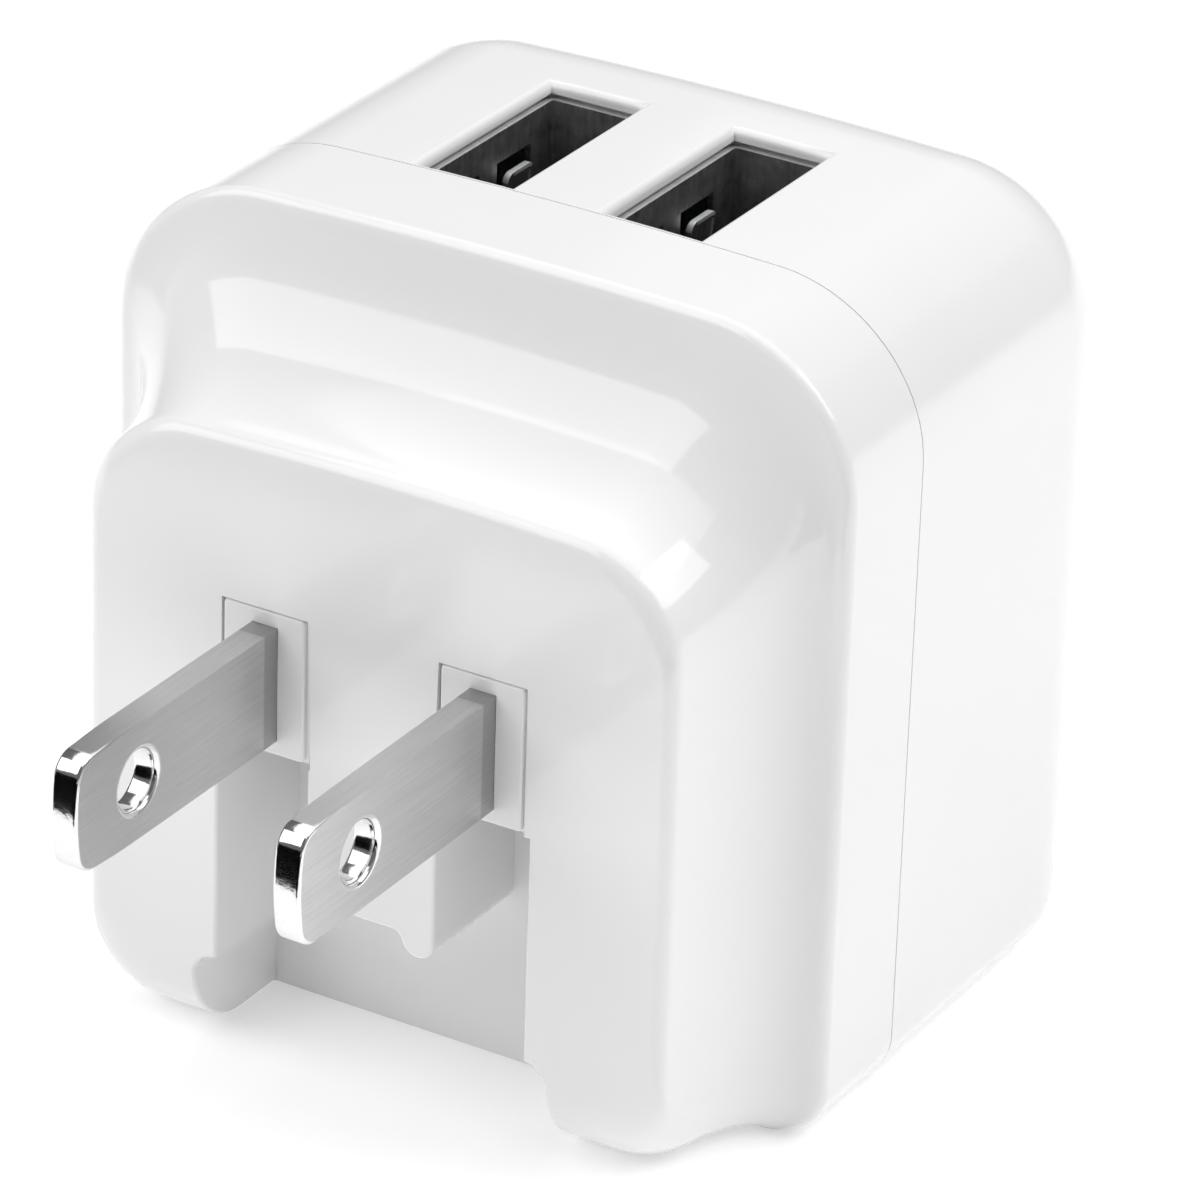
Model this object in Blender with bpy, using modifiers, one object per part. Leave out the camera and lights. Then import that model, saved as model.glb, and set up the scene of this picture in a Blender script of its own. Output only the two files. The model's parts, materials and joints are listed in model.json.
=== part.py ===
"""Two-port USB wall charger with fold-out flat prongs, as separate parts.

Metres, +Z up. X runs across the prongs, +Y into the wall charger's body, away
from the wall outlet. The origin is the middle of the flat plug face, between
the prongs. The prongs are drawn folded out, and turn down about the X axis.
"""

import math

import bmesh
import bpy
from mathutils import Vector

MM = 0.001
TOUCH_GAP = 0.3 * MM

# Body: outer size, as half width, top, bottom and back, measured from the origin.
HALF_WIDTH = 21.4 * MM
TOP = 21.8 * MM
BOTTOM = -22.1 * MM
BACK_Y = 39.4 * MM
TOP_CORNER = 8.5 * MM
BOTTOM_CORNER = 3.0 * MM
BACK_ROUND = 7.5 * MM
TOP_CROWN = 0.6 * MM
RIM_Y = 9.0 * MM
RIM_ROUND = 0.6 * MM
PARTING_Y = 15.9 * MM
COVER_WALL = 1.9 * MM
HOUSING_WALL = 2.4 * MM

# Plug block: the part of the front cover that meets the outlet.
BLOCK_HALF_WIDTH = 17.1 * MM
BLOCK_TOP = 13.0 * MM
BLOCK_TOP_CORNER = 6.0 * MM
BLOCK_BOTTOM_CORNER = 3.5 * MM
BLOCK_EDGE = 0.8 * MM
BLOCK_BOTTOM_EDGE = 4.5 * MM

# Flat two-blade plug.
PRONG_SPACING = 12.7 * MM
PRONG_THICK = 1.52 * MM
PRONG_HEIGHT = 6.3 * MM
PRONG_LENGTH = 17.4 * MM
PRONG_HOLE_Y = 12.1 * MM
PRONG_HOLE_RADIUS = 1.6 * MM
PRONG_TIP_ROUND = 1.4 * MM
PRONG_TIP_BOW = 12.0 * MM
PRONG_NECK_HEIGHT = 3.0 * MM
HINGE_Y = 4.0 * MM
PRONG_TAIL_Y = HINGE_Y + 5.5 * MM

# Carrier that holds both prongs, and the hollow it folds them into.
TILE_WIDTH = 4.76 * MM
TILE_HALF_HEIGHT = 3.95 * MM
TILE_ROUND_BACK = 4.25 * MM
SHAFT_RADIUS = 1.3 * MM
SHAFT_HALF_LENGTH = 12.4 * MM
HUB_RADIUS = 1.75 * MM
HUB_HALF_WIDTH = 1.8 * MM
POST_INNER_X = 10.2 * MM
POST_OUTER_X = 12.0 * MM
WINDOW_GAP = 0.18 * MM
BLADE_GAP = 0.1 * MM
FOLD_DEPTH = 7.7 * MM
FOLD_OUTER_X = 9.15 * MM
FOLD_INNER_X = 3.8 * MM
RIB_END_Z = -12.9 * MM
RIB_ARCH_Z = -11.7 * MM
RIB_LEG_WIDTH = 1.9 * MM
RIB_ARCH_CORNER = 0.6 * MM
POCKET_HALF_WIDTH = 10.5 * MM
POCKET_TOP_Z = -16.8 * MM
POCKET_CORNER = 1.2 * MM
FLOOR_TOP_Z = -4.2 * MM
FOLD_WALL = 1.5 * MM

# USB sockets in the top face.
PORT_X = 5.45 * MM
PORT_Y = 22.9 * MM
PORT_WIDTH = 5.4 * MM
PORT_LENGTH = 12.7 * MM
SOCKET_WIDTH = 5.12 * MM
SOCKET_LENGTH = 12.5 * MM
SOCKET_METAL = 0.35 * MM
SOCKET_TOP = 20.8 * MM
SOCKET_BOTTOM = 5.7 * MM
TONGUE_TOP = 17.3 * MM
SPRING_Y = 2.5 * MM
SPRING_WIDTH = 2.5 * MM
SPRING_SLOT = 0.4 * MM
SPRING_TOP = 19.1 * MM
SPRING_ROOT = 13.6 * MM

# Circuit boards.
BOARD_THICK = 1.2 * MM
MAIN_BOARD_Z = -18.0 * MM
PORT_BOARD_Z = 4.8 * MM
MAIN_FLOOR = MAIN_BOARD_Z + BOARD_THICK / 2 + TOUCH_GAP
PORT_FLOOR = PORT_BOARD_Z + BOARD_THICK / 2 + TOUCH_GAP

# What stands on each board, in millimetres: its middle (x, y), then its size.
CHIPS = {
    "bridge_rectifier": ("main", (-3.4, 19.8), (6.0, 5.0, 1.8)),
    "controller_chip": ("main", (-10.6, 18.8), (5.0, 4.0, 1.6)),
    "optocoupler": ("main", (-11.8, 24.2), (4.6, 6.4, 3.4)),
    "charge_controller": ("port", (0.0, 32.6), (5.0, 4.0, 1.2)),
    "rectifier_diode": ("port", (11.6, 31.6), (6.2, 4.6, 2.2)),
}
CANS = {
    "input_capacitor_a": ("main", (12.6, 21.4), 4.0, 14.0),
    "input_capacitor_b": ("main", (12.6, 29.7), 4.0, 14.0),
    "output_capacitor_left": ("port", (-13.0, 24.0), 3.15, 8.6),
    "output_capacitor_right": ("port", (13.0, 24.0), 3.15, 8.6),
}
FLOORS = {"main": MAIN_FLOOR, "port": PORT_FLOOR}
TRANSFORMER_PLACE = (0.0, 28.0)
INDUCTOR_PLACE = (5.0, 18.8)
FUSE_PLACE = (-9.8, 30.9)
DISC_PLACE = (-14.4, 31.0)

ARC_STEPS = 7
ROUND_SIDES = 32


def clear_scene():
    for obj in list(bpy.data.objects):
        bpy.data.objects.remove(obj, do_unlink=True)


def new_collection(name):
    collection = bpy.data.collections.new(name)
    bpy.context.scene.collection.children.link(collection)
    return collection


def material(name, color, roughness, metallic=0.0):
    made = bpy.data.materials.new(name)
    made.use_nodes = True
    shader = made.node_tree.nodes["Principled BSDF"]
    shader.inputs["Base Color"].default_value = (*color, 1.0)
    shader.inputs["Roughness"].default_value = roughness
    shader.inputs["Metallic"].default_value = metallic
    return made


# ---------------------------------------------------------------- mesh helpers


def add_object(name, mesh, place=(0, 0, 0)):
    obj = bpy.data.objects.new(name, mesh)
    obj.location = place
    bpy.context.scene.collection.objects.link(obj)
    return obj


def box(name, low, high, bevel=0.0, steps=2):
    """A box between two corners, with its origin at its centre."""
    centre = (Vector(low) + Vector(high)) / 2
    size = Vector(high) - Vector(low)
    bm = bmesh.new()
    bmesh.ops.create_cube(bm, size=1.0)
    bmesh.ops.scale(bm, vec=size, verts=bm.verts)
    mesh = bpy.data.meshes.new(name)
    bm.to_mesh(mesh)
    bm.free()
    obj = add_object(name, mesh, centre)
    if bevel:
        rounded = obj.modifiers.new("round_edges", "BEVEL")
        rounded.width = bevel
        rounded.segments = steps
    return obj


def cylinder(name, centre, radius, length, axis="Z", sides=ROUND_SIDES):
    bm = bmesh.new()
    bmesh.ops.create_cone(
        bm, cap_ends=True, segments=sides, radius1=radius, radius2=radius, depth=length
    )
    mesh = bpy.data.meshes.new(name)
    bm.to_mesh(mesh)
    bm.free()
    obj = add_object(name, mesh, centre)
    if axis == "X":
        obj.rotation_euler = (0, math.pi / 2, 0)
    if axis == "Y":
        obj.rotation_euler = (math.pi / 2, 0, 0)
    return obj


def plate(name, outline, thickness, place=(0, 0, 0), turn=(0, 0, 0)):
    """A flat outline in the local XY plane, given a thickness about that plane."""
    curve = bpy.data.curves.new(name, "CURVE")
    curve.dimensions = "2D"
    curve.fill_mode = "BOTH"
    curve.extrude = thickness / 2
    spline = curve.splines.new("POLY")
    spline.points.add(len(outline) - 1)
    for point, (x, y) in zip(spline.points, outline):
        point.co = (x, y, 0, 1)
    spline.use_cyclic_u = True
    guide = add_object(name + "_outline", curve, place)
    guide.rotation_euler = turn
    return curve_to_mesh(guide, name)


def wire(name, points, radius):
    """A round wire along a smooth curve through the points."""
    curve = bpy.data.curves.new(name, "CURVE")
    curve.dimensions = "3D"
    curve.bevel_depth = radius
    curve.bevel_resolution = 2
    curve.use_fill_caps = True
    route = smooth_route(points)
    spline = curve.splines.new("POLY")
    spline.points.add(len(route) - 1)
    for point, place in zip(spline.points, route):
        point.co = (*place, 1)
    return curve_to_mesh(add_object(name + "_route", curve), name)


def smooth_route(points, steps=4):
    """Points on the Catmull-Rom curve that passes through the given ones."""
    knots = [Vector(p) for p in points]
    knots = [2 * knots[0] - knots[1]] + knots + [2 * knots[-1] - knots[-2]]
    route = []
    for a, b, c, d in zip(knots, knots[1:], knots[2:], knots[3:]):
        for step in range(steps):
            t = step / steps
            curve = 2 * b + t * (c - a)
            curve += t * t * (2 * a - 5 * b + 4 * c - d)
            curve += t * t * t * (3 * b - a - 3 * c + d)
            route.append(curve / 2)
    return route + [knots[-2]]


def curve_to_mesh(guide, name):
    bpy.context.view_layer.update()
    graph = bpy.context.evaluated_depsgraph_get()
    mesh = bpy.data.meshes.new_from_object(guide.evaluated_get(graph))
    mesh.name = name
    bm = bmesh.new()
    bm.from_mesh(mesh)
    bmesh.ops.remove_doubles(bm, verts=bm.verts, dist=0.001 * MM)
    bmesh.ops.recalc_face_normals(bm, faces=bm.faces)
    bm.to_mesh(mesh)
    bm.free()
    obj = add_object(name, mesh)
    obj.matrix_world = guide.matrix_world
    bpy.data.objects.remove(guide, do_unlink=True)
    return obj


def turned(name, profile, place, sides=ROUND_SIDES):
    """A solid of revolution about Z. The profile is (radius, height), top to bottom."""
    mesh = bpy.data.meshes.new(name)
    points = [(radius, 0, height) for radius, height in profile]
    edges = [(i, i + 1) for i in range(len(points) - 1)]
    mesh.from_pydata(points, edges, [])
    obj = add_object(name, mesh, place)
    screw = obj.modifiers.new("turn", "SCREW")
    screw.steps = sides
    screw.render_steps = sides
    screw.use_merge_vertices = True
    screw.merge_threshold = 0.001 * MM
    return obj


def loft(name, rings):
    """A closed solid through rings of points that run the same way round."""
    bm = bmesh.new()
    rows = [[bm.verts.new(point) for point in ring] for ring in rings]
    count = len(rows[0])
    for row, following in zip(rows, rows[1:]):
        for i in range(count):
            j = (i + 1) % count
            bm.faces.new((row[i], row[j], following[j], following[i]))
    bm.faces.new(reversed(rows[0]))
    bm.faces.new(rows[-1])
    bmesh.ops.recalc_face_normals(bm, faces=bm.faces)
    mesh = bpy.data.meshes.new(name)
    bm.to_mesh(mesh)
    bm.free()
    return add_object(name, mesh)


def combine(target, tool, operation="DIFFERENCE"):
    """Joins or cuts with a Boolean whose tool stays in the scene as a hidden guide."""
    modifier = target.modifiers.new(operation.lower() + "_" + tool.name, "BOOLEAN")
    modifier.operation = operation
    modifier.solver = "EXACT"
    modifier.object = tool
    tool.hide_render = True
    tool.display_type = "WIRE"
    tool["is_cutter"] = True
    return target


def cut(target, *tools):
    for tool in tools:
        combine(target, tool, "DIFFERENCE")


def join(target, *tools):
    for tool in tools:
        combine(target, tool, "UNION")


def smooth(obj, angle=40):
    mesh = obj.data
    mesh.shade_smooth()
    mesh.set_sharp_from_angle(angle=math.radians(angle))


# ------------------------------------------------------------- body's sections


def arc(centre_x, centre_y, radius, start, end, steps=ARC_STEPS):
    """Points on an arc, angles in degrees."""
    points = []
    for step in range(steps + 1):
        angle = math.radians(start + (end - start) * step / steps)
        points.append(
            (centre_x + radius * math.cos(angle), centre_y + radius * math.sin(angle))
        )
    return points


def section(y, half_width, top, bottom, top_corner, bottom_corner):
    """One section of the body: a rounded rectangle whose top is crowned a little."""
    right = half_width - top_corner
    low_right = half_width - bottom_corner
    flat = arc(right, top - top_corner, top_corner, 0, 90)
    flat += [(right * share, top) for share in (0.5, 0, -0.5)]
    flat += arc(-right, top - top_corner, top_corner, 90, 180)
    flat += arc(-low_right, bottom + bottom_corner, bottom_corner, 180, 270)
    flat += arc(low_right, bottom + bottom_corner, bottom_corner, 270, 360)
    middle = (top + bottom) / 2
    ring = []
    for x, z in flat:
        height = max(0.0, (z - middle) / (top - middle))
        drop = TOP_CROWN * (x / half_width) ** 2 * height**2
        ring.append((x, y, z - drop))
    return ring


def edge_inset(depth, radius):
    """How far an edge of this radius pulls a section in, at a depth behind its start."""
    if depth >= radius:
        return 0.0
    return radius - math.sqrt(radius**2 - (radius - depth) ** 2)


def cover_section(y, wall=0.0):
    """The front cover's section at y: plug block, hollow cove, then the rim."""
    depth = max(0.0, y - wall)
    sweep = min(1.0, depth / RIM_Y)
    spread = 1 - math.sqrt(1 - sweep**2)
    edge = edge_inset(depth, BLOCK_EDGE)
    rim = RIM_ROUND
    if depth > RIM_Y:
        rim = edge_inset(depth - RIM_Y, RIM_ROUND)
    half_width = BLOCK_HALF_WIDTH + spread * (HALF_WIDTH - BLOCK_HALF_WIDTH) - edge
    top = BLOCK_TOP + spread * (TOP - BLOCK_TOP) - edge
    corner = BLOCK_TOP_CORNER + spread * (TOP_CORNER - BLOCK_TOP_CORNER)
    low_corner = BLOCK_BOTTOM_CORNER
    low_corner += spread * (BOTTOM_CORNER - BLOCK_BOTTOM_CORNER)
    bottom = BOTTOM + edge_inset(depth, BLOCK_BOTTOM_EDGE)
    inset = wall + spread * rim
    return section(
        y,
        half_width - inset,
        top - inset,
        bottom + wall,
        corner - min(inset, corner / 2),
        max(low_corner - wall, 1.0 * MM),
    )


def cover_stations():
    """The places along Y where the front cover's outer skin changes."""
    stations = [0.0, 0.1 * MM, 0.3 * MM, BLOCK_EDGE, 1.6 * MM, 2.6 * MM]
    stations += [RIM_Y * math.sin(math.radians(a)) for a in (24, 32, 40, 48, 56)]
    stations += [RIM_Y * math.sin(math.radians(a)) for a in (64, 72, 80, 85, 90)]
    stations += [RIM_Y + RIM_ROUND * share for share in (0.1, 0.4, 1.0)]
    return stations


def housing_section(y, wall=0.0):
    """The rear housing's section at y, pulled in where the back edges are round."""
    depth = BACK_Y - wall - y
    inset = wall + edge_inset(max(0.0, depth), BACK_ROUND - wall)
    return section(
        y,
        HALF_WIDTH - inset,
        TOP - inset,
        BOTTOM + inset,
        max(TOP_CORNER - inset, 1.0 * MM),
        max(BOTTOM_CORNER - inset, 0.6 * MM),
    )


# ------------------------------------------------------------------ front cover


def fold_hollows():
    """What is cut from the plug block: two prong slots, an arch and a finger pocket."""
    cutters = []
    front = -2 * MM
    for name, side in (("left", -1), ("right", 1)):
        ends = sorted((side * FOLD_INNER_X, side * FOLD_OUTER_X))
        cutters.append(
            box(
                "slot_cutter_" + name,
                (ends[0], front, BOTTOM - 2 * MM),
                (ends[1], FOLD_DEPTH, FLOOR_TOP_Z),
            )
        )
        centre = side * PRONG_SPACING / 2
        half = TILE_WIDTH / 2 + WINDOW_GAP
        cutters.append(
            box(
                "window_cutter_" + name,
                (centre - half, front, FLOOR_TOP_Z - 0.5 * MM),
                (centre + half, FOLD_DEPTH + 5 * MM, TILE_HALF_HEIGHT + WINDOW_GAP),
            )
        )
    cutters.append(rib_end_cutter())
    cutters.append(finger_pocket_cutter())
    return cutters


def rib_end_cutter():
    """Clears the space under the rib, leaving an arch between two round-ended legs."""
    leg = RIB_LEG_WIDTH / 2
    leg_x = FOLD_INNER_X - leg
    leg_z = RIB_END_Z + leg
    corner_z = RIB_ARCH_Z - RIB_ARCH_CORNER
    reach = leg + RIB_ARCH_CORNER
    lean = math.asin((leg_z - corner_z) / reach)
    corner_x = leg_x - reach * math.cos(lean)
    turn = math.degrees(lean)
    outline = [(FOLD_OUTER_X, BOTTOM - 2 * MM), (FOLD_OUTER_X, leg_z)]
    outline += [(FOLD_INNER_X + 0.2 * MM, leg_z)]
    outline += arc(leg_x, leg_z, leg, 0, turn - 180)
    outline += arc(corner_x, corner_z, RIB_ARCH_CORNER, turn, 90, 4)[1:]
    mirrored = [(-x, z) for x, z in reversed(outline)]
    return plate(
        "rib_end_cutter",
        outline + mirrored,
        FOLD_DEPTH + 2 * MM,
        place=(0, FOLD_DEPTH / 2 - 1 * MM, 0),
        turn=(math.pi / 2, 0, 0),
    )


def finger_pocket_cutter():
    round_x = POCKET_HALF_WIDTH - POCKET_CORNER
    outline = [(POCKET_HALF_WIDTH, BOTTOM - 2 * MM)]
    outline += arc(round_x, POCKET_TOP_Z - POCKET_CORNER, POCKET_CORNER, 0, 90)
    mirrored = [(-x, z) for x, z in reversed(outline)]
    return plate(
        "finger_pocket_cutter",
        outline + mirrored,
        FOLD_DEPTH + 2 * MM,
        place=(0, FOLD_DEPTH / 2 - 1 * MM, 0),
        turn=(math.pi / 2, 0, 0),
    )


def front_cover():
    outer = [cover_section(y) for y in cover_stations()]
    outer.append(cover_section(PARTING_Y))
    cover = loft("front_cover", outer)
    hollow_stations = [COVER_WALL]
    hollow_stations += [COVER_WALL + y for y in cover_stations()[3::2]]
    hollow_stations.append(PARTING_Y + 2 * MM)
    hollow = loft(
        "cover_hollow", [cover_section(y, COVER_WALL) for y in hollow_stations]
    )
    keep = box(
        "fold_walls",
        (-POCKET_HALF_WIDTH - FOLD_WALL, -1 * MM, BOTTOM - 1 * MM),
        (POCKET_HALF_WIDTH + FOLD_WALL, FOLD_DEPTH + FOLD_WALL, FLOOR_TOP_Z),
    )
    cut(hollow, keep)
    cut(cover, hollow)
    join(cover, *shaft_posts())
    cut(cover, *fold_hollows())
    return cover


def shaft_posts():
    """Two posts behind the plug face, with half-round seats for the shaft."""
    posts = []
    seat = cylinder(
        "shaft_seat_cutter",
        (0, HINGE_Y, 0),
        SHAFT_RADIUS + TOUCH_GAP,
        2 * SHAFT_HALF_LENGTH + 4 * MM,
        "X",
    )
    for name, side in (("left", -1), ("right", 1)):
        ends = sorted((side * POST_INNER_X, side * POST_OUTER_X))
        post = box(
            "shaft_post_" + name,
            (ends[0], COVER_WALL - 0.5 * MM, -3.2 * MM),
            (ends[1], HINGE_Y - 0.15 * MM, 3.2 * MM),
        )
        cut(post, seat)
        posts.append(post)
    return posts


# ----------------------------------------------------------------- rear housing


def rear_housing():
    start = PARTING_Y + TOUCH_GAP
    straight_end = BACK_Y - BACK_ROUND
    bends = [math.sin(math.radians(a)) for a in (12, 24, 36, 48, 60, 70, 80, 90)]
    stations = [start, straight_end] + [straight_end + BACK_ROUND * b for b in bends]
    housing = loft("rear_housing", [housing_section(y) for y in stations])

    inner_round = BACK_ROUND - HOUSING_WALL
    stations = [start - 2 * MM, straight_end]
    stations += [straight_end + inner_round * b for b in bends[1::2]]
    hollow = loft(
        "housing_hollow", [housing_section(y, HOUSING_WALL) for y in stations]
    )
    cut(housing, hollow)
    join(housing, locating_lip())
    cut(housing, *port_cutters())
    return housing


def locating_lip():
    """The thin ring that slips inside the front cover's skirt."""
    front = PARTING_Y - 1.6 * MM
    back = PARTING_Y + 2.4 * MM
    outer_wall = COVER_WALL + TOUCH_GAP
    ring = loft(
        "locating_lip", [lip_section(y, outer_wall) for y in (front, back)]
    )
    bore = loft(
        "locating_lip_bore",
        [lip_section(y, outer_wall + 1.0 * MM) for y in (front - 1 * MM, back + 1 * MM)],
    )
    relief = box(
        "lip_relief_cutter",
        (-PORT_X - 3.8 * MM, front - 1 * MM, TOP - 6 * MM),
        (PORT_X + 3.8 * MM, back + 1 * MM, TOP + 1 * MM),
    )
    cut(ring, bore, relief)
    return ring


def lip_section(y, wall):
    return section(
        y,
        HALF_WIDTH - wall,
        TOP - wall,
        BOTTOM + wall,
        TOP_CORNER - wall,
        max(BOTTOM_CORNER - wall, 0.6 * MM),
    )


def port_cutters():
    """A mouth through the top for each socket, and a recess below it for its shell."""
    cutters = []
    recess_x = SOCKET_WIDTH / 2 + SOCKET_METAL + TOUCH_GAP
    recess_y = SOCKET_LENGTH / 2 + SOCKET_METAL + TOUCH_GAP
    low = TOP - HOUSING_WALL - 2 * MM
    for name, side in (("left", -1), ("right", 1)):
        x = side * PORT_X
        mouth = box(
            "port_cutter_" + name,
            (x - PORT_WIDTH / 2, PORT_Y - PORT_LENGTH / 2, low + 1 * MM),
            (x + PORT_WIDTH / 2, PORT_Y + PORT_LENGTH / 2, TOP + 2 * MM),
        )
        recess = box(
            "recess_cutter_" + name,
            (x - recess_x, PORT_Y - recess_y, low),
            (x + recess_x, PORT_Y + recess_y, SOCKET_TOP + TOUCH_GAP),
        )
        cutters += [mouth, recess]
    return cutters


# ------------------------------------------------------------- folding prongs


def carrier_outline():
    """Side view of a tile: square in front, rounded behind to clear the cover."""
    half = TILE_HALF_HEIGHT
    bend = math.degrees(math.asin(half / TILE_ROUND_BACK))
    outline = [(-HINGE_Y, -half)]
    outline += arc(0, 0, TILE_ROUND_BACK, -bend, bend, 12)
    outline += [(-HINGE_Y, half)]
    return outline


def side_plate(name, outline, thickness, x):
    """A plate whose outline is given in Y and Z from the hinge, standing across X."""
    return plate(
        name,
        outline,
        thickness,
        place=(x, HINGE_Y, 0),
        turn=(math.pi / 2, 0, math.pi / 2),
    )


def prong_carrier():
    carrier = cylinder(
        "prong_carrier", (0, HINGE_Y, 0), SHAFT_RADIUS, 2 * SHAFT_HALF_LENGTH, "X"
    )
    hub = cylinder(
        "carrier_hub", (0, HINGE_Y, 0), HUB_RADIUS, 2 * HUB_HALF_WIDTH, "X"
    )
    join(carrier, hub)
    for name, side in (("left", -1), ("right", 1)):
        x = side * PRONG_SPACING / 2
        tile = side_plate("carrier_tile_" + name, carrier_outline(), TILE_WIDTH, x)
        join(carrier, tile)
        half = PRONG_THICK / 2 + BLADE_GAP
        mouth = box(
            "blade_mouth_" + name,
            (x - half, -1 * MM, -PRONG_HEIGHT / 2 - BLADE_GAP),
            (x + half, 1.2 * MM + BLADE_GAP, PRONG_HEIGHT / 2 + BLADE_GAP),
        )
        neck = box(
            "blade_neck_" + name,
            (x - half, 0.5 * MM, -PRONG_NECK_HEIGHT / 2 - BLADE_GAP),
            (x + half, 11 * MM, PRONG_NECK_HEIGHT / 2 + BLADE_GAP),
        )
        cut(carrier, mouth, neck)
    return carrier


def prong_outline():
    """Side view of a blade: tail, neck inside the carrier, and the blade itself."""
    half = PRONG_HEIGHT / 2
    neck = PRONG_NECK_HEIGHT / 2
    tip = -HINGE_Y - PRONG_LENGTH
    tail = PRONG_TAIL_Y - HINGE_Y
    shoulder = 1.2 * MM - HINGE_Y
    bow_y = tip + PRONG_TIP_BOW
    reach = PRONG_TIP_BOW - PRONG_TIP_ROUND
    round_z = half - PRONG_TIP_ROUND
    lean = math.asin(round_z / reach)
    round_y = bow_y - reach * math.cos(lean)
    turn = math.degrees(lean)
    outline = [(tail, -neck), (tail, neck), (shoulder, neck), (shoulder, half)]
    outline += arc(round_y, round_z, PRONG_TIP_ROUND, 90, 180 - turn, 5)
    outline += arc(bow_y, 0, PRONG_TIP_BOW, 180 - turn, 180 + turn, 4)[1:-1]
    outline += arc(round_y, -round_z, PRONG_TIP_ROUND, 180 + turn, 270, 5)
    outline += [(shoulder, -half), (shoulder, -neck)]
    return outline


def prong(name, side):
    x = side * PRONG_SPACING / 2
    blade = side_plate(name, prong_outline(), PRONG_THICK, x)
    hole = cylinder(
        name + "_hole", (x, -PRONG_HOLE_Y, 0), PRONG_HOLE_RADIUS, 6 * MM, "X", 24
    )
    cut(blade, hole)
    edge = blade.modifiers.new("soften_edges", "BEVEL")
    edge.width = 0.2 * MM
    edge.segments = 2
    edge.limit_method = "ANGLE"
    edge.angle_limit = math.radians(50)
    return blade


def shaft_bracket():
    """The bracket that holds the shaft in its seats from behind."""
    bar = box(
        "shaft_bracket",
        (-13.6 * MM, 10.9 * MM, -2.4 * MM),
        (13.6 * MM, 12.3 * MM, 2.4 * MM),
    )
    seat = cylinder(
        "bracket_seat_cutter",
        (0, HINGE_Y, 0),
        SHAFT_RADIUS + TOUCH_GAP,
        30 * MM,
        "X",
    )
    for name, side in (("left", -1), ("right", 1)):
        ends = sorted((side * POST_INNER_X, side * POST_OUTER_X))
        arm = box(
            "bracket_arm_" + name,
            (ends[0], HINGE_Y + 0.15 * MM, -2.4 * MM),
            (ends[1], 11.4 * MM, 2.4 * MM),
        )
        cut(arm, seat)
        join(bar, arm)
    return bar


def detent_spring():
    """A leaf behind the carrier's hub that holds it at either end of its turn."""
    reach = HUB_RADIUS + TOUCH_GAP
    thick = 0.25 * MM
    outline = [(reach + 1.2 * MM, 3.6 * MM), (reach + 1.2 * MM + thick, 3.6 * MM)]
    outline += [(reach + 0.3 * MM + thick, 0.9 * MM), (reach + thick, 0)]
    outline += [(reach + 0.3 * MM + thick, -0.9 * MM)]
    outline += [(reach + 2.0 * MM + thick, -3.6 * MM), (6.4 * MM, -3.6 * MM)]
    outline += [(6.4 * MM, -3.6 * MM - thick), (reach + 2.0 * MM - thick, -3.6 * MM - thick)]
    outline += [(reach + 0.3 * MM, -0.9 * MM), (reach, 0), (reach + 0.3 * MM, 0.9 * MM)]
    return side_plate("detent_spring", outline, 3.0 * MM, 0)


def contact_spring(name, side):
    """The leaf that a blade's tail meets when the prongs are folded out."""
    thick = 0.3 * MM
    front = 6.1 * MM
    outline = [(front, -4.0 * MM), (front, 4.4 * MM), (front + 1.6 * MM, 6.4 * MM)]
    outline += [(front + 3.6 * MM, 6.4 * MM), (front + 3.6 * MM, 6.4 * MM - thick)]
    outline += [(front + 1.6 * MM + thick, 6.4 * MM - thick)]
    outline += [(front + thick, 4.4 * MM - thick), (front + thick, -4.0 * MM)]
    return side_plate(name, outline, 3.2 * MM, side * PRONG_SPACING / 2)


def mains_lead(name, side):
    """The insulated wire from a contact spring down to the main board."""
    x = side * PRONG_SPACING / 2
    route = [
        (x, 14.7 * MM, 10.0 * MM),
        (x, 14.7 * MM, 7.6 * MM),
        (x + side * 2 * MM, 14.6 * MM, 3 * MM),
        (x + side * 7.5 * MM, 14.6 * MM, -3 * MM),
        (x + side * 8.4 * MM, 14.9 * MM, -11 * MM),
        (x + side * 8.4 * MM, 15.9 * MM, MAIN_FLOOR),
    ]
    return wire(name, route, 0.6 * MM)


# ------------------------------------------------------------------ USB sockets


def usb_shell(name, side):
    """A folded sheet-metal socket, open at the top, with two springs in each long wall."""
    x = side * PORT_X
    half_x = SOCKET_WIDTH / 2 + SOCKET_METAL
    half_y = SOCKET_LENGTH / 2 + SOCKET_METAL
    shell = box(
        name,
        (x - half_x, PORT_Y - half_y, SOCKET_BOTTOM),
        (x + half_x, PORT_Y + half_y, SOCKET_TOP),
    )
    hollow = box(
        name + "_hollow",
        (x - SOCKET_WIDTH / 2, PORT_Y - SOCKET_LENGTH / 2, SOCKET_BOTTOM + SOCKET_METAL),
        (x + SOCKET_WIDTH / 2, PORT_Y + SOCKET_LENGTH / 2, SOCKET_TOP + 2 * MM),
    )
    cut(shell, hollow)
    for place, y in (("front", PORT_Y - SPRING_Y), ("back", PORT_Y + SPRING_Y)):
        half_slot = SPRING_WIDTH / 2 + SPRING_SLOT
        window = box(
            name + "_window_" + place,
            (x - half_x - 1 * MM, y - half_slot, SPRING_ROOT),
            (x + half_x + 1 * MM, y + half_slot, SPRING_TOP),
        )
        spring = box(
            name + "_spring_" + place,
            (x - half_x - 2 * MM, y - SPRING_WIDTH / 2, SPRING_ROOT - 1 * MM),
            (x + half_x + 2 * MM, y + SPRING_WIDTH / 2, SPRING_TOP - SPRING_SLOT),
        )
        cut(window, spring)
        cut(shell, window)
    return shell


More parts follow.
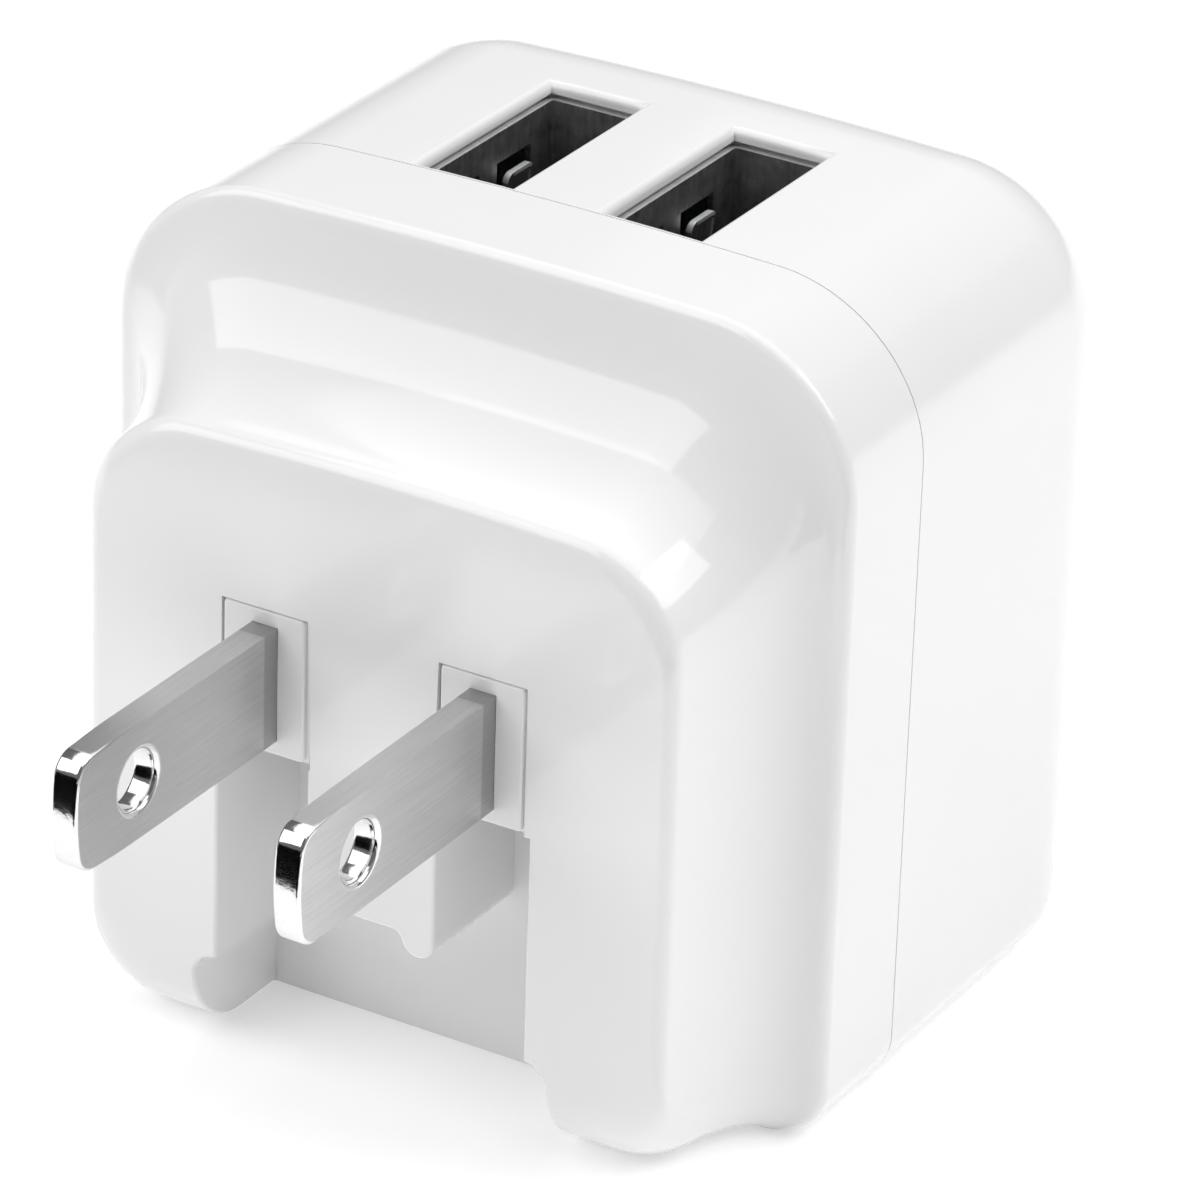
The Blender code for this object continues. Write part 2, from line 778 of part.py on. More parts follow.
def usb_tongue(name, side):
    """The insulator inside a socket: a foot, and the tongue that carries contacts."""
    x = side * PORT_X
    foot_low = SOCKET_BOTTOM + SOCKET_METAL + TOUCH_GAP
    clear = TOUCH_GAP
    foot = box(
        name,
        (x - SOCKET_WIDTH / 2 + clear, PORT_Y - SOCKET_LENGTH / 2 + clear, foot_low),
        (x + SOCKET_WIDTH / 2 - clear, PORT_Y + SOCKET_LENGTH / 2 - clear, 7.9 * MM),
    )
    blade = box(
        name + "_blade",
        (x + 0.1 * MM, PORT_Y - 5.55 * MM, 7.0 * MM),
        (x + 1.94 * MM, PORT_Y + 5.55 * MM, TONGUE_TOP),
    )
    join(foot, blade)
    return foot


# ----------------------------------------------------------------- electronics


def board(name, low, high, z):
    half = BOARD_THICK / 2
    return box(name, (*low, z - half), (*high, z + half))


def chip(name, x, y, floor, size):
    """A moulded package that stands on a board, with its edges bevelled."""
    dx, dy, dz = size[0] / 2, size[1] / 2, size[2]
    return box(
        name, (x - dx, y - dy, floor), (x + dx, y + dy, floor + dz), 0.25 * MM, 1
    )


def can(name, x, y, floor, radius, height):
    """An electrolytic capacitor in its sleeve, with a crimp groove near its foot."""
    edge = 0.4 * MM
    groove = floor + 1.8 * MM
    profile = [
        (0, floor + height),
        (radius - edge, floor + height),
        (radius, floor + height - edge),
        (radius, groove + edge),
        (radius - edge, groove),
        (radius, groove - edge),
        (radius, floor + edge / 2),
        (radius - edge / 2, floor),
        (0, floor),
    ]
    return turned(name, profile, (x, y, 0), 24)


def transformer(x, y, floor):
    """Ferrite core, bobbin and winding of the small switching transformer."""
    low = floor + 1.0 * MM
    core = box(
        "transformer_core",
        (x - 7.4 * MM, y - 3.0 * MM, low),
        (x + 7.4 * MM, y + 3.0 * MM, low + 13.0 * MM),
    )
    window_low = low + 2.6 * MM
    window_high = low + 10.4 * MM
    for name, side in (("left", -1), ("right", 1)):
        ends = sorted((x + side * 2.2 * MM, x + side * 5.4 * MM))
        window = box(
            "core_window_" + name,
            (ends[0], y - 4 * MM, window_low),
            (ends[1], y + 4 * MM, window_high),
        )
        cut(core, window)
    floor_z = window_low + TOUCH_GAP
    roof_z = window_high - TOUCH_GAP
    name = "transformer_bobbin"
    bobbin = ring_block(name, x, y, floor_z, roof_z, (5.0, 6.6), (6.4, 8.0))
    for name, z in (("low", floor_z), ("high", roof_z - 0.7 * MM)):
        flange = ring_block(
            "bobbin_flange_" + name, x, y, z, z + 0.7 * MM, (5.0, 6.6), (10.2, 11.4)
        )
        join(bobbin, flange)
    winding = ring_block(
        "transformer_winding",
        x,
        y,
        floor_z + 1.0 * MM,
        roof_z - 1.0 * MM,
        (7.0, 8.6),
        (9.8, 11.0),
    )
    return [core, bobbin, winding]


def ring_block(name, x, y, low, high, inner, outer):
    """A rectangular ring around (x, y). Inner and outer are sizes in millimetres."""
    half_in = [size * MM / 2 for size in inner]
    half_out = [size * MM / 2 for size in outer]
    ring = box(
        name,
        (x - half_out[0], y - half_out[1], low),
        (x + half_out[0], y + half_out[1], high),
    )
    hole = box(
        name + "_hole",
        (x - half_in[0], y - half_in[1], low - 1 * MM),
        (x + half_in[0], y + half_in[1], high + 1 * MM),
    )
    cut(ring, hole)
    return ring


def spool(name, x, y, floor):
    """The mains filter inductor: a winding between two ferrite discs."""
    profile = [
        (0, floor + 7.0 * MM),
        (3.0 * MM, floor + 7.0 * MM),
        (3.0 * MM, floor + 6.0 * MM),
        (2.5 * MM, floor + 5.8 * MM),
        (2.5 * MM, floor + 1.2 * MM),
        (3.0 * MM, floor + 1.0 * MM),
        (3.0 * MM, floor),
        (0, floor),
    ]
    return turned(name, profile, (x, y, 0), 20)


def standing_parts():
    """The chips and the electrolytic capacitors of both boards."""
    parts = []
    for name, (board_name, (x, y), size) in CHIPS.items():
        size = [side * MM for side in size]
        parts.append(chip(name, x * MM, y * MM, FLOORS[board_name], size))
    for name, (board_name, (x, y), radius, height) in CANS.items():
        floor = FLOORS[board_name]
        parts.append(can(name, x * MM, y * MM, floor, radius * MM, height * MM))
    return parts


def main_board_parts():
    """The mains side: its board, the transformer and the parts that lie down."""
    x, y = TRANSFORMER_PLACE
    parts = transformer(x * MM, y * MM, MAIN_FLOOR)
    x, y = INDUCTOR_PLACE
    parts.append(spool("filter_inductor", x * MM, y * MM, MAIN_FLOOR))
    x, y = FUSE_PLACE
    place = (x * MM, y * MM, MAIN_FLOOR + 1.6 * MM)
    parts.append(cylinder("fuse_resistor", place, 1.5 * MM, 5.6 * MM, "Y", 16))
    x, y = DISC_PLACE
    place = (x * MM, y * MM, MAIN_FLOOR + 3.9 * MM)
    parts.append(cylinder("safety_capacitor", place, 3.4 * MM, 2.6 * MM, "X", 24))
    low, high = (-17.4 * MM, 15.0 * MM), (17.4 * MM, 33.8 * MM)
    parts.append(board("main_board", low, high, MAIN_BOARD_Z))
    return parts


def port_board_parts():
    """The low-voltage side: its board and the two sockets."""
    low, high = (-16.8 * MM, 15.8 * MM), (16.8 * MM, 35.0 * MM)
    parts = [board("port_board", low, high, PORT_BOARD_Z)]
    for name, side in (("left", -1), ("right", 1)):
        parts.append(usb_shell("usb_shell_" + name, side))
        parts.append(usb_tongue("usb_tongue_" + name, side))
    return parts


def link_parts():
    """What joins and parts the two boards."""
    low = MAIN_FLOOR
    sheet_z = PORT_BOARD_Z - BOARD_THICK / 2 - TOUCH_GAP
    sheet = box(
        "insulation_sheet",
        (-15.0 * MM, 15.8 * MM, sheet_z - 0.4 * MM),
        (17.0 * MM, 34.6 * MM, sheet_z),
    )
    link = box(
        "link_board",
        (-16.8 * MM, 20.0 * MM, low),
        (-15.8 * MM, 28.0 * MM, sheet_z),
    )
    return [sheet, link]


# -------------------------------------------------------------------- assembly

FINISHES = {
    "white_plastic": ((0.88, 0.88, 0.88), 0.22, 0.0),
    "carrier_plastic": ((0.86, 0.86, 0.86), 0.35, 0.0),
    "nickel": ((0.66, 0.65, 0.63), 0.25, 1.0),
    "spring_bronze": ((0.72, 0.53, 0.30), 0.35, 1.0),
    "socket_steel": ((0.56, 0.56, 0.57), 0.30, 1.0),
    "socket_plastic": ((0.03, 0.03, 0.03), 0.45, 0.0),
    "board_green": ((0.02, 0.18, 0.07), 0.45, 0.0),
    "ferrite": ((0.06, 0.06, 0.065), 0.60, 0.0),
    "tape": ((0.85, 0.66, 0.10), 0.40, 0.0),
    "bobbin_plastic": ((0.05, 0.05, 0.05), 0.45, 0.0),
    "capacitor_sleeve": ((0.04, 0.05, 0.09), 0.35, 0.0),
    "chip_black": ((0.03, 0.03, 0.03), 0.50, 0.0),
    "disc_ceramic": ((0.10, 0.22, 0.52), 0.40, 0.0),
    "resistor_body": ((0.12, 0.36, 0.22), 0.40, 0.0),
    "opto_white": ((0.80, 0.80, 0.76), 0.50, 0.0),
    "wire_black": ((0.03, 0.03, 0.03), 0.45, 0.0),
    "wire_white": ((0.80, 0.80, 0.80), 0.45, 0.0),
    "insulation_film": ((0.90, 0.88, 0.80), 0.50, 0.0),
}

FINISH_OF = {
    "front_cover": "white_plastic",
    "rear_housing": "white_plastic",
    "prong_carrier": "carrier_plastic",
    "prong_left": "nickel",
    "prong_right": "nickel",
    "shaft_bracket": "carrier_plastic",
    "detent_spring": "spring_bronze",
    "contact_spring_left": "spring_bronze",
    "contact_spring_right": "spring_bronze",
    "mains_lead_left": "wire_black",
    "mains_lead_right": "wire_white",
    "usb_shell_left": "socket_steel",
    "usb_shell_right": "socket_steel",
    "usb_tongue_left": "socket_plastic",
    "usb_tongue_right": "socket_plastic",
    "main_board": "board_green",
    "port_board": "board_green",
    "link_board": "board_green",
    "transformer_core": "ferrite",
    "transformer_bobbin": "bobbin_plastic",
    "transformer_winding": "tape",
    "filter_inductor": "ferrite",
    "input_capacitor_a": "capacitor_sleeve",
    "input_capacitor_b": "capacitor_sleeve",
    "output_capacitor_left": "capacitor_sleeve",
    "output_capacitor_right": "capacitor_sleeve",
    "bridge_rectifier": "chip_black",
    "controller_chip": "chip_black",
    "charge_controller": "chip_black",
    "rectifier_diode": "chip_black",
    "optocoupler": "opto_white",
    "fuse_resistor": "resistor_body",
    "safety_capacitor": "disc_ceramic",
    "insulation_sheet": "insulation_film",
}


def parent_to_hinge(parts):
    hinge = bpy.data.objects.new("prong_hinge", None)
    hinge.location = (0, HINGE_Y, 0)
    hinge.empty_display_size = 5 * MM
    bpy.context.scene.collection.objects.link(hinge)
    bpy.context.view_layer.update()
    for part in parts:
        part.parent = hinge
        part.matrix_parent_inverse = hinge.matrix_world.inverted()
    return hinge


def sort_into_collections(parts, hinge):
    """The parts, with the hinge, in one collection and every cutter in another."""
    root = bpy.context.scene.collection
    charger = new_collection("usb_wall_charger")
    cutters = new_collection("cutters")
    for obj in list(root.objects):
        root.objects.unlink(obj)
        if obj in parts or obj == hinge:
            charger.objects.link(obj)
        else:
            cutters.objects.link(obj)


def main():
    clear_scene()
    moving = [prong_carrier(), prong("prong_left", -1), prong("prong_right", 1)]
    parts = [front_cover(), rear_housing(), shaft_bracket(), detent_spring()]
    for name, side in (("left", -1), ("right", 1)):
        parts.append(contact_spring("contact_spring_" + name, side))
        parts.append(mains_lead("mains_lead_" + name, side))
    parts += main_board_parts()
    parts += port_board_parts()
    parts += standing_parts()
    parts += link_parts()
    parts += moving
    finishes = {name: material(name, *values) for name, values in FINISHES.items()}
    for part in parts:
        part.data.materials.clear()
        part.data.materials.append(finishes[FINISH_OF[part.name]])
        smooth(part)
    hinge = parent_to_hinge(moving)
    sort_into_collections(parts, hinge)


main()
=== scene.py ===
# %% [markdown]
# # A two-port wall charger, built piece by piece
#
# The charger's sizes, and every part that moves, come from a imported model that
# loads as a fixed frame. This script adds the looks round it: the two glossy
# shells with their rounded edges, the brushed blades, the sheet-metal sockets
# and a finish for each part inside. Each step says what the real thing is, and
# why it is made this way here.

# %% Load the fixed frame
import json
import math

import bmesh
import bpy
from mathutils import Matrix, Vector


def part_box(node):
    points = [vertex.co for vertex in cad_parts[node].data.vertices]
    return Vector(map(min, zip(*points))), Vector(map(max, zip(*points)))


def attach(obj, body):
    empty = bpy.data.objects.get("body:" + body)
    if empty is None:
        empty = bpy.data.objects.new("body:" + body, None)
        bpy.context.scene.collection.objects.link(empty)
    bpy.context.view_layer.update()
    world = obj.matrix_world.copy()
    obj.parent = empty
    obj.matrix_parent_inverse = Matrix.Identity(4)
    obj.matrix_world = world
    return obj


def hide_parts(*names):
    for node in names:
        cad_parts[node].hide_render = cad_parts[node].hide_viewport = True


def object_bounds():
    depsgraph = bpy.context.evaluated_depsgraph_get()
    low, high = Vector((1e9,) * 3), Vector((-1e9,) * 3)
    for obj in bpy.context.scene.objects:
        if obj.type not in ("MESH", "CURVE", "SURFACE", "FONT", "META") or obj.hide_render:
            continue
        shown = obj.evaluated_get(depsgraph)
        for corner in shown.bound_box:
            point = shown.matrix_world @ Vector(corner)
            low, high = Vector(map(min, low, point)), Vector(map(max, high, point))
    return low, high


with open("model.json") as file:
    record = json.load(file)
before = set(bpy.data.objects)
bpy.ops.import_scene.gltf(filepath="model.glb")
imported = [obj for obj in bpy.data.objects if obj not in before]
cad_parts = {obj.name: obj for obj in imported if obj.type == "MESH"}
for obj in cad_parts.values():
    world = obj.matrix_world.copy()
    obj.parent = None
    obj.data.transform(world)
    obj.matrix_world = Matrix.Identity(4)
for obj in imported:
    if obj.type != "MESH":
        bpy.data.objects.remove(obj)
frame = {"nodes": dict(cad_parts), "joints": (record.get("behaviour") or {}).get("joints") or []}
cad_low, cad_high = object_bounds()
nodes = frame["nodes"]
print("nodes:", len(nodes), "size in mm:", [round(v * 1000, 1) for v in cad_high - cad_low])

# %% [markdown]
# ## Sizes
#
# Blender works in metres, and a charger is small, so lengths are written in
# millimetres times MM. The outer sizes are read from the frame, so that the
# looks fit it exactly. The rest are ones that an outer box can't tell, such as
# how round a corner is.

# %% Sizes from the frame, and the radii that a mould maker would choose
MM = 0.001
cover_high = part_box("front_cover")[1]
housing_low, housing_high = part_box("rear_housing")
blade_low, blade_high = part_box("prong_right")
carrier_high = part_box("prong_carrier")[1]
shell_low, shell_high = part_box("usb_shell_right")

HALF_WIDTH = housing_high.x
TOP = housing_high.z
BOTTOM = housing_low.z
BACK_Y = housing_high.y
PARTING_Y = cover_high.y
HINGE_Y = frame["joints"][0]["pos_m"][1]

TOP_CORNER = 8.5 * MM
BOTTOM_CORNER = 3.0 * MM
BACK_ROUND = 7.5 * MM
TOP_CROWN = 0.6 * MM
RIM_Y = 9.0 * MM
RIM_ROUND = 0.6 * MM
COVER_WALL = 1.9 * MM
HOUSING_WALL = 2.4 * MM
SEAM = 0.08 * MM

BLOCK_HALF_WIDTH = 17.1 * MM
BLOCK_TOP = 13.0 * MM
BLOCK_TOP_CORNER = 6.0 * MM
BLOCK_BOTTOM_CORNER = 3.5 * MM
BLOCK_EDGE = 0.8 * MM
BLOCK_BOTTOM_EDGE = 4.5 * MM
print("half width, top, bottom, back in mm:", [round(v / MM, 2) for v in (HALF_WIDTH, TOP, BOTTOM, BACK_Y)])

# %% [markdown]
# ## Camera
#
# The charger is seen from the front right and from above, by a long lens at
# about a third of a metre. A camera is easiest to place by azimuth and
# elevation round a point inside the object, with a little roll at the end.

# %% Camera
CAMERA_AZIMUTH = 30.21
CAMERA_ELEVATION = 26.8
CAMERA_ROLL = 1.89
CAMERA_DISTANCE = 356 * MM
CAMERA_AIM = Vector((4.03, 15.0, 1.23)) * MM
LENS_MM = 211.4


def direction(azimuth, elevation):
    """The way from the object to something seen at this azimuth and elevation, in degrees."""
    turn, lift = math.radians(azimuth), math.radians(elevation)
    return Vector((math.sin(turn) * math.cos(lift), -math.cos(turn) * math.cos(lift), math.sin(lift)))


camera_data = bpy.data.cameras.new("camera")
camera_data.lens = LENS_MM
camera_data.clip_start = 10 * MM
camera = bpy.data.objects.new("camera", camera_data)
towards_camera = direction(CAMERA_AZIMUTH, CAMERA_ELEVATION)
camera.location = CAMERA_AIM + towards_camera * CAMERA_DISTANCE
look = (-towards_camera).to_track_quat("-Z", "Y").to_matrix().to_4x4()
camera.rotation_euler = (look @ Matrix.Rotation(math.radians(CAMERA_ROLL), 4, "Z")).to_euler()
bpy.context.scene.collection.objects.link(camera)
bpy.context.scene.camera = camera
print("camera at", [round(v, 3) for v in camera.location])

# %% [markdown]
# ## Three small helpers for every finish
#
# Shaders work with linear light, and a paint or plastic colour is easier to
# name as sRGB hex, so one function converts. The second adds a node, with its
# settings and its links, so that each finish below reads as a short recipe. The
# third starts a finish, whose patterns all sit in the piece's own coordinates,
# in metres, so that they move with it.

# %% Colour and node helpers


def srgb(code):
    """An sRGB hex colour such as "F4F4F2", as the linear values that shaders take."""
    channels = [int(code[i : i + 2], 16) / 255 for i in (0, 2, 4)]
    linear = [c / 12.92 if c <= 0.04045 else ((c + 0.055) / 1.055) ** 2.4 for c in channels]
    return (*linear, 1.0)


def add(tree, kind, settings=None, inputs=None):
    """Adds a node. Each input, by its name or number, is a value or another node's output."""
    node = tree.nodes.new("ShaderNode" + kind)
    for name, value in (settings or {}).items():
        setattr(node, name, value)
    for name, value in (inputs or {}).items():
        if isinstance(value, bpy.types.NodeSocket):
            tree.links.new(value, node.inputs[name])
        else:
            node.inputs[name].default_value = value
    return node


def new_finish(name):
    """Starts a material. Gives it back with its node tree, its shader and the piece's coordinates."""
    made = bpy.data.materials.new(name)
    made.use_nodes = True
    shader = made.node_tree.nodes["Principled BSDF"]
    place = add(made.node_tree, "TexCoord").outputs["Object"]
    print("finish:", name)
    return made, made.node_tree, shader, place


print("white plastic in linear light:", [round(v, 3) for v in srgb("F3F3F3")[:3]])

# %% [markdown]
# ## Studio
#
# White plastic on a white ground shows its form only by small differences of
# light. A large softbox stands high on the left, and the hollow cove mirrors it
# as one long bright band. A wide, weaker one hangs overhead, a small bright one
# makes the glint on the corner, and two more fill the right side and the back.
# The room itself is dim, so the plug face turns a light grey.

# %% World
world = bpy.data.worlds.new("studio")
bpy.context.scene.world = world
world.use_nodes = True
sky = world.node_tree
sky.nodes.clear()
ROOM_LIGHT = 0.15
room = add(sky, "Background", inputs={"Color": srgb("FFFFFF"), "Strength": ROOM_LIGHT})
add(sky, "OutputWorld", inputs={"Surface": room.outputs[0]})
bpy.context.scene.view_settings.view_transform = "Standard"
print("light of the room:", ROOM_LIGHT)

# %% Softboxes
middle = (cad_low + cad_high) / 2


def softbox(name, towards, across, distance, width, height, glow):
    """A flat light at a distance along a direction. Across is the way that its width runs."""
    back = Vector(towards).normalized()
    side = Vector(across)
    side = (side - back * side.dot(back)).normalized()
    up = back.cross(side)
    lamp = bpy.data.lights.new(name, "AREA")
    lamp.shape = "RECTANGLE"
    lamp.size = width
    lamp.size_y = height
    lamp.energy = glow * math.pi * width * height
    box = bpy.data.objects.new(name, lamp)
    facing = Matrix((side, up, back)).transposed().to_4x4()
    box.matrix_world = Matrix.Translation(middle + back * distance) @ facing
    bpy.context.scene.collection.objects.link(box)
    print(name, "power in watts:", round(lamp.energy, 3))


left, over, right = (-0.51, -0.52, 0.68), (0.1, 0.2, 1.0), (0.665, 0.35, 0.66)
beside, behind = (0.93, 0.16, 0.34), (0.0, 0.7, 0.7)
softbox("softbox_left", left, (0.85, -0.37, 0.38), distance=0.45, width=0.46, height=0.32, glow=2.2)
softbox("softbox_over", over, (1, 0, 0), distance=0.60, width=0.90, height=0.80, glow=1.3)
softbox("softbox_right", right, (0, 1, 0), distance=0.50, width=0.30, height=0.25, glow=2.7)
softbox("softbox_side", beside, (0, 1, 0), distance=0.60, width=0.60, height=0.50, glow=0.18)
softbox("softbox_back", behind, (1, 0, 0), distance=0.60, width=0.60, height=0.40, glow=0.3)

# %% [markdown]
# ## Ground
#
# The ground is a light table: a sheet of opal acrylic with lamps under it. It
# glows evenly, so the charger throws hardly any shadow, and its lower edges are
# lit from below. The lamps are never perfectly even, which is the faint cloud
# in the tone.

# %% Light table
opal, tree, shader, place = new_finish("backlit_opal_acrylic")
TABLE_GLOW = 0.25
CLOUDS_PER_METRE = 12.0
cloud = add(tree, "TexNoise", inputs={"Vector": place, "Scale": CLOUDS_PER_METRE, "Detail": 3.0})
tones = {"Factor": cloud.outputs["Fac"], "A": srgb("FDFDFD"), "B": srgb("FAFAFA")}
tone = add(tree, "Mix", {"data_type": "RGBA"}, tones)
tree.links.new(tone.outputs["Result"], shader.inputs["Base Color"])
tree.links.new(tone.outputs["Result"], shader.inputs["Emission Color"])
shader.inputs["Emission Strength"].default_value = TABLE_GLOW
shader.inputs["Roughness"].default_value = 0.9

GROUND_HALF = 2.5
GROUND_DROP = 0.02 * MM
bm = bmesh.new()
bmesh.ops.create_grid(bm, x_segments=1, y_segments=1, size=GROUND_HALF)
ground_mesh = bpy.data.meshes.new("ground")
bm.to_mesh(ground_mesh)
bm.free()
ground_mesh.materials.append(opal)
ground = bpy.data.objects.new("ground", ground_mesh)
ground.location.z = BOTTOM - GROUND_DROP
bpy.context.scene.collection.objects.link(ground)

# %% [markdown]
# ## Black flags
#
# Polished metal looks like metal only when it has something dark to mirror. In a
# studio, black cards are laid in front of the subject, just out of view. Here
# they are made visible to mirror reflections alone, so they darken the blade
# ends and nothing else. They are velvet, with a faint nap.

# %% Velvet flags
velvet, tree, shader, place = new_finish("black_velvet_card")
TUFTS_PER_METRE = 300.0
nap = add(tree, "TexNoise", inputs={"Vector": place, "Scale": TUFTS_PER_METRE, "Detail": 2.0})
tones = {"Factor": nap.outputs["Fac"], "A": srgb("050505"), "B": srgb("121212")}
tone = add(tree, "Mix", {"data_type": "RGBA"}, tones)
tree.links.new(tone.outputs["Result"], shader.inputs["Base Color"])
shader.inputs["Roughness"].default_value = 0.95
shader.inputs["Specular IOR Level"].default_value = 0.0

FLAG_FRONT_Y = -56 * MM
FLAG_BACK_Y = -420 * MM
FLAG_LEFT_X = -500 * MM
FLAG_RIGHT_X = 200 * MM
FLAG_THICK = 1 * MM
FLAG_HEIGHT = 150 * MM


def flag(name, low, high):
    """A card between two corners, which only mirror reflections see."""
    bm = bmesh.new()
    bmesh.ops.create_cube(bm, size=1.0)
    for vert in bm.verts:
        vert.co = Vector([(low[i] + high[i]) / 2 + vert.co[i] * (high[i] - low[i]) for i in range(3)])
    mesh = bpy.data.meshes.new(name)
    bm.to_mesh(mesh)
    bm.free()
    mesh.materials.append(velvet)
    card = bpy.data.objects.new(name, mesh)
    card.visible_camera = False
    card.visible_diffuse = False
    card.visible_shadow = False
    bpy.context.scene.collection.objects.link(card)
    print(name, "from", [round(v, 3) for v in low], "to", [round(v, 3) for v in high])


flag(
    "flag_flat",
    (FLAG_LEFT_X, FLAG_BACK_Y, BOTTOM),
    (FLAG_RIGHT_X, FLAG_FRONT_Y, BOTTOM + FLAG_THICK),
)
flag(
    "flag_upright",
    (FLAG_LEFT_X, FLAG_BACK_Y - FLAG_THICK, BOTTOM),
    (FLAG_RIGHT_X, FLAG_BACK_Y, BOTTOM + FLAG_HEIGHT),
)

# %% [markdown]
# ## White moulded plastic
#
# Both shells are polycarbonate and ABS, moulded in a polished tool. The surface
# is glossy enough to mirror the blades faintly. It is never optically flat:
# shrinkage leaves a very shallow ripple about a millimetre across, which bends
# reflections a little, and handling leaves patches that are slightly duller.

# %% White gloss plastic
gloss_plastic, tree, shader, place = new_finish("white_gloss_moulded_polycarbonate")
SHRINK_PATCH = 9 * MM
SHRINK_RIPPLE = 1.6 * MM
RIPPLE_DEPTH = 0.0012 * MM
patch = add(tree, "TexNoise", inputs={"Vector": place, "Scale": 1 / SHRINK_PATCH, "Detail": 2.0})
ripple = add(tree, "TexNoise", inputs={"Vector": place, "Scale": 1 / SHRINK_RIPPLE, "Detail": 1.0})
tones = {"Factor": patch.outputs["Fac"], "A": srgb("F3F3F3"), "B": srgb("F0F0F0")}
tone = add(tree, "Mix", {"data_type": "RGBA"}, tones)
polish = add(tree, "MapRange", inputs={"Value": patch.outputs["Fac"], "To Min": 0.06, "To Max": 0.13})
relief = {"Height": ripple.outputs["Fac"], "Distance": RIPPLE_DEPTH, "Strength": 1.0}
bump = add(tree, "Bump", inputs=relief)
tree.links.new(tone.outputs["Result"], shader.inputs["Base Color"])
tree.links.new(polish.outputs["Result"], shader.inputs["Roughness"])
tree.links.new(bump.outputs["Normal"], shader.inputs["Normal"])
shader.inputs["IOR"].default_value = 1.56

# %% [markdown]
# ## Mesh helpers
#
# A moulded shell is a shape whose section changes along one axis, so it is
# lofted: rings of points are joined one to the next. Openings are cut with an
# exact Boolean, whose result is kept and whose cutter is removed. The edges of
# an opening are then found by their place and their angle, and rounded, as a
# mould would leave them.

# %% Loft, block and drum
OUTSIDE = 2 * MM  # how far a cutter stands out past what it cuts
LAP = 1 * MM  # how far a cutter overlaps where nothing has to fit


def arc(centre_u, centre_v, radius, start, end, steps):
    """Points on an arc, with its angles in degrees."""
    angles = [math.radians(start + (end - start) * i / steps) for i in range(steps + 1)]
    return [(centre_u + radius * math.cos(a), centre_v + radius * math.sin(a)) for a in angles]


def piece_from(name, bm):
    """Turns a bmesh into an object in the scene."""
    bmesh.ops.recalc_face_normals(bm, faces=bm.faces)
    mesh = bpy.data.meshes.new(name)
    bm.to_mesh(mesh)
    bm.free()
    piece = bpy.data.objects.new(name, mesh)
    bpy.context.scene.collection.objects.link(piece)
    return piece


def loft(name, rings):
    """A closed solid through rings of points that run the same way round."""
    bm = bmesh.new()
    rows = [[bm.verts.new(point) for point in ring] for ring in rings]
    count = len(rows[0])
    for row, following in zip(rows, rows[1:]):
        for i in range(count):
            j = (i + 1) % count
            bm.faces.new((row[i], row[j], following[j], following[i]))
    bm.faces.new(reversed(rows[0]))
    bm.faces.new(rows[-1])
    return piece_from(name, bm)


def slab(name, outline, low, high, axis="Y"):
    """An outline pushed along an axis. It is (x, z) for Y, (y, z) for X and (x, y) for Z."""
    if axis == "Y":
        return loft(name, [[(u, at, v) for u, v in outline] for at in (low, high)])
    if axis == "X":
        return loft(name, [[(at, u, v) for u, v in outline] for at in (low, high)])
    return loft(name, [[(u, v, at) for u, v in outline] for at in (low, high)])


def block(name, low, high):
    """A plain box between two corners."""
    outline = [(low[0], low[1]), (high[0], low[1]), (high[0], high[1]), (low[0], high[1])]
    return slab(name, outline, low[2], high[2], "Z")


def drum(name, centre, radius, length, axis="X", steps=64):
    """A cylinder along an axis, about its centre."""
    order = {"X": (1, 2, 0), "Y": (0, 2, 1), "Z": (0, 1, 2)}[axis]
    u, v, along = (centre[i] for i in order)
    outline = arc(u, v, radius, 0, 360, steps)[:-1]
    return slab(name, outline, along - length / 2, along + length / 2, axis)


# %% Cut, join and round
HAIR = 0.01 * MM  # two places closer than this count as one
SLIVER = 0.002 * MM  # edges shorter than this are dropped before rounding


def combine(piece, tools, operation):
    """Applies one Boolean per tool, keeps the result and removes the tools."""
    for tool in tools:
        step = piece.modifiers.new(tool.name, "BOOLEAN")
        step.operation = operation
        step.solver = "EXACT"
        step.object = tool
    bpy.context.view_layer.update()
    graph = bpy.context.evaluated_depsgraph_get()
    result = bpy.data.meshes.new_from_object(piece.evaluated_get(graph))
    piece.modifiers.clear()
    piece.data = result
    result.name = piece.name
    for tool in tools:
        bpy.data.objects.remove(tool, do_unlink=True)


def cut(piece, *tools):
    combine(piece, tools, "DIFFERENCE")


def join(piece, *tools):
    combine(piece, tools, "UNION")


def round_edges(piece, wanted, radius, steps=3, least=40):
    """Rounds the edges that turn by more than an angle and whose two ends pass the test."""
    bm = bmesh.new()
    bm.from_mesh(piece.data)
    bmesh.ops.dissolve_degenerate(bm, dist=SLIVER, edges=bm.edges)
    limit = math.radians(least)
    edges = []
    for edge in bm.edges:
        if len(edge.link_faces) == 2 and edge.calc_face_angle() > limit:
            if all(wanted(vert.co) for vert in edge.verts):
                edges.append(edge)
    bmesh.ops.bevel(
        bm,
        geom=edges,
        offset=radius,
        offset_type="OFFSET",
        segments=steps,
        profile=0.5,
        affect="EDGES",
        clamp_overlap=False,
    )
    bm.to_mesh(piece.data)
    bm.free()
    print(piece.name, "edges rounded:", len(edges))


def finish_piece(piece, body, replaced, material, sharp=38):
    """Gives a piece its smooth shading and its material, and ties it to the frame."""
    mesh = piece.data
    mesh.materials.clear()
    mesh.materials.append(material)
    mesh.shade_smooth()
    mesh.set_sharp_from_angle(angle=math.radians(sharp))
    weighted = piece.modifiers.new("weighted_normals", "WEIGHTED_NORMAL")
    weighted.keep_sharp = True
    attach(piece, body)
    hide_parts(*replaced)
    print(piece.name, "faces:", len(mesh.polygons))


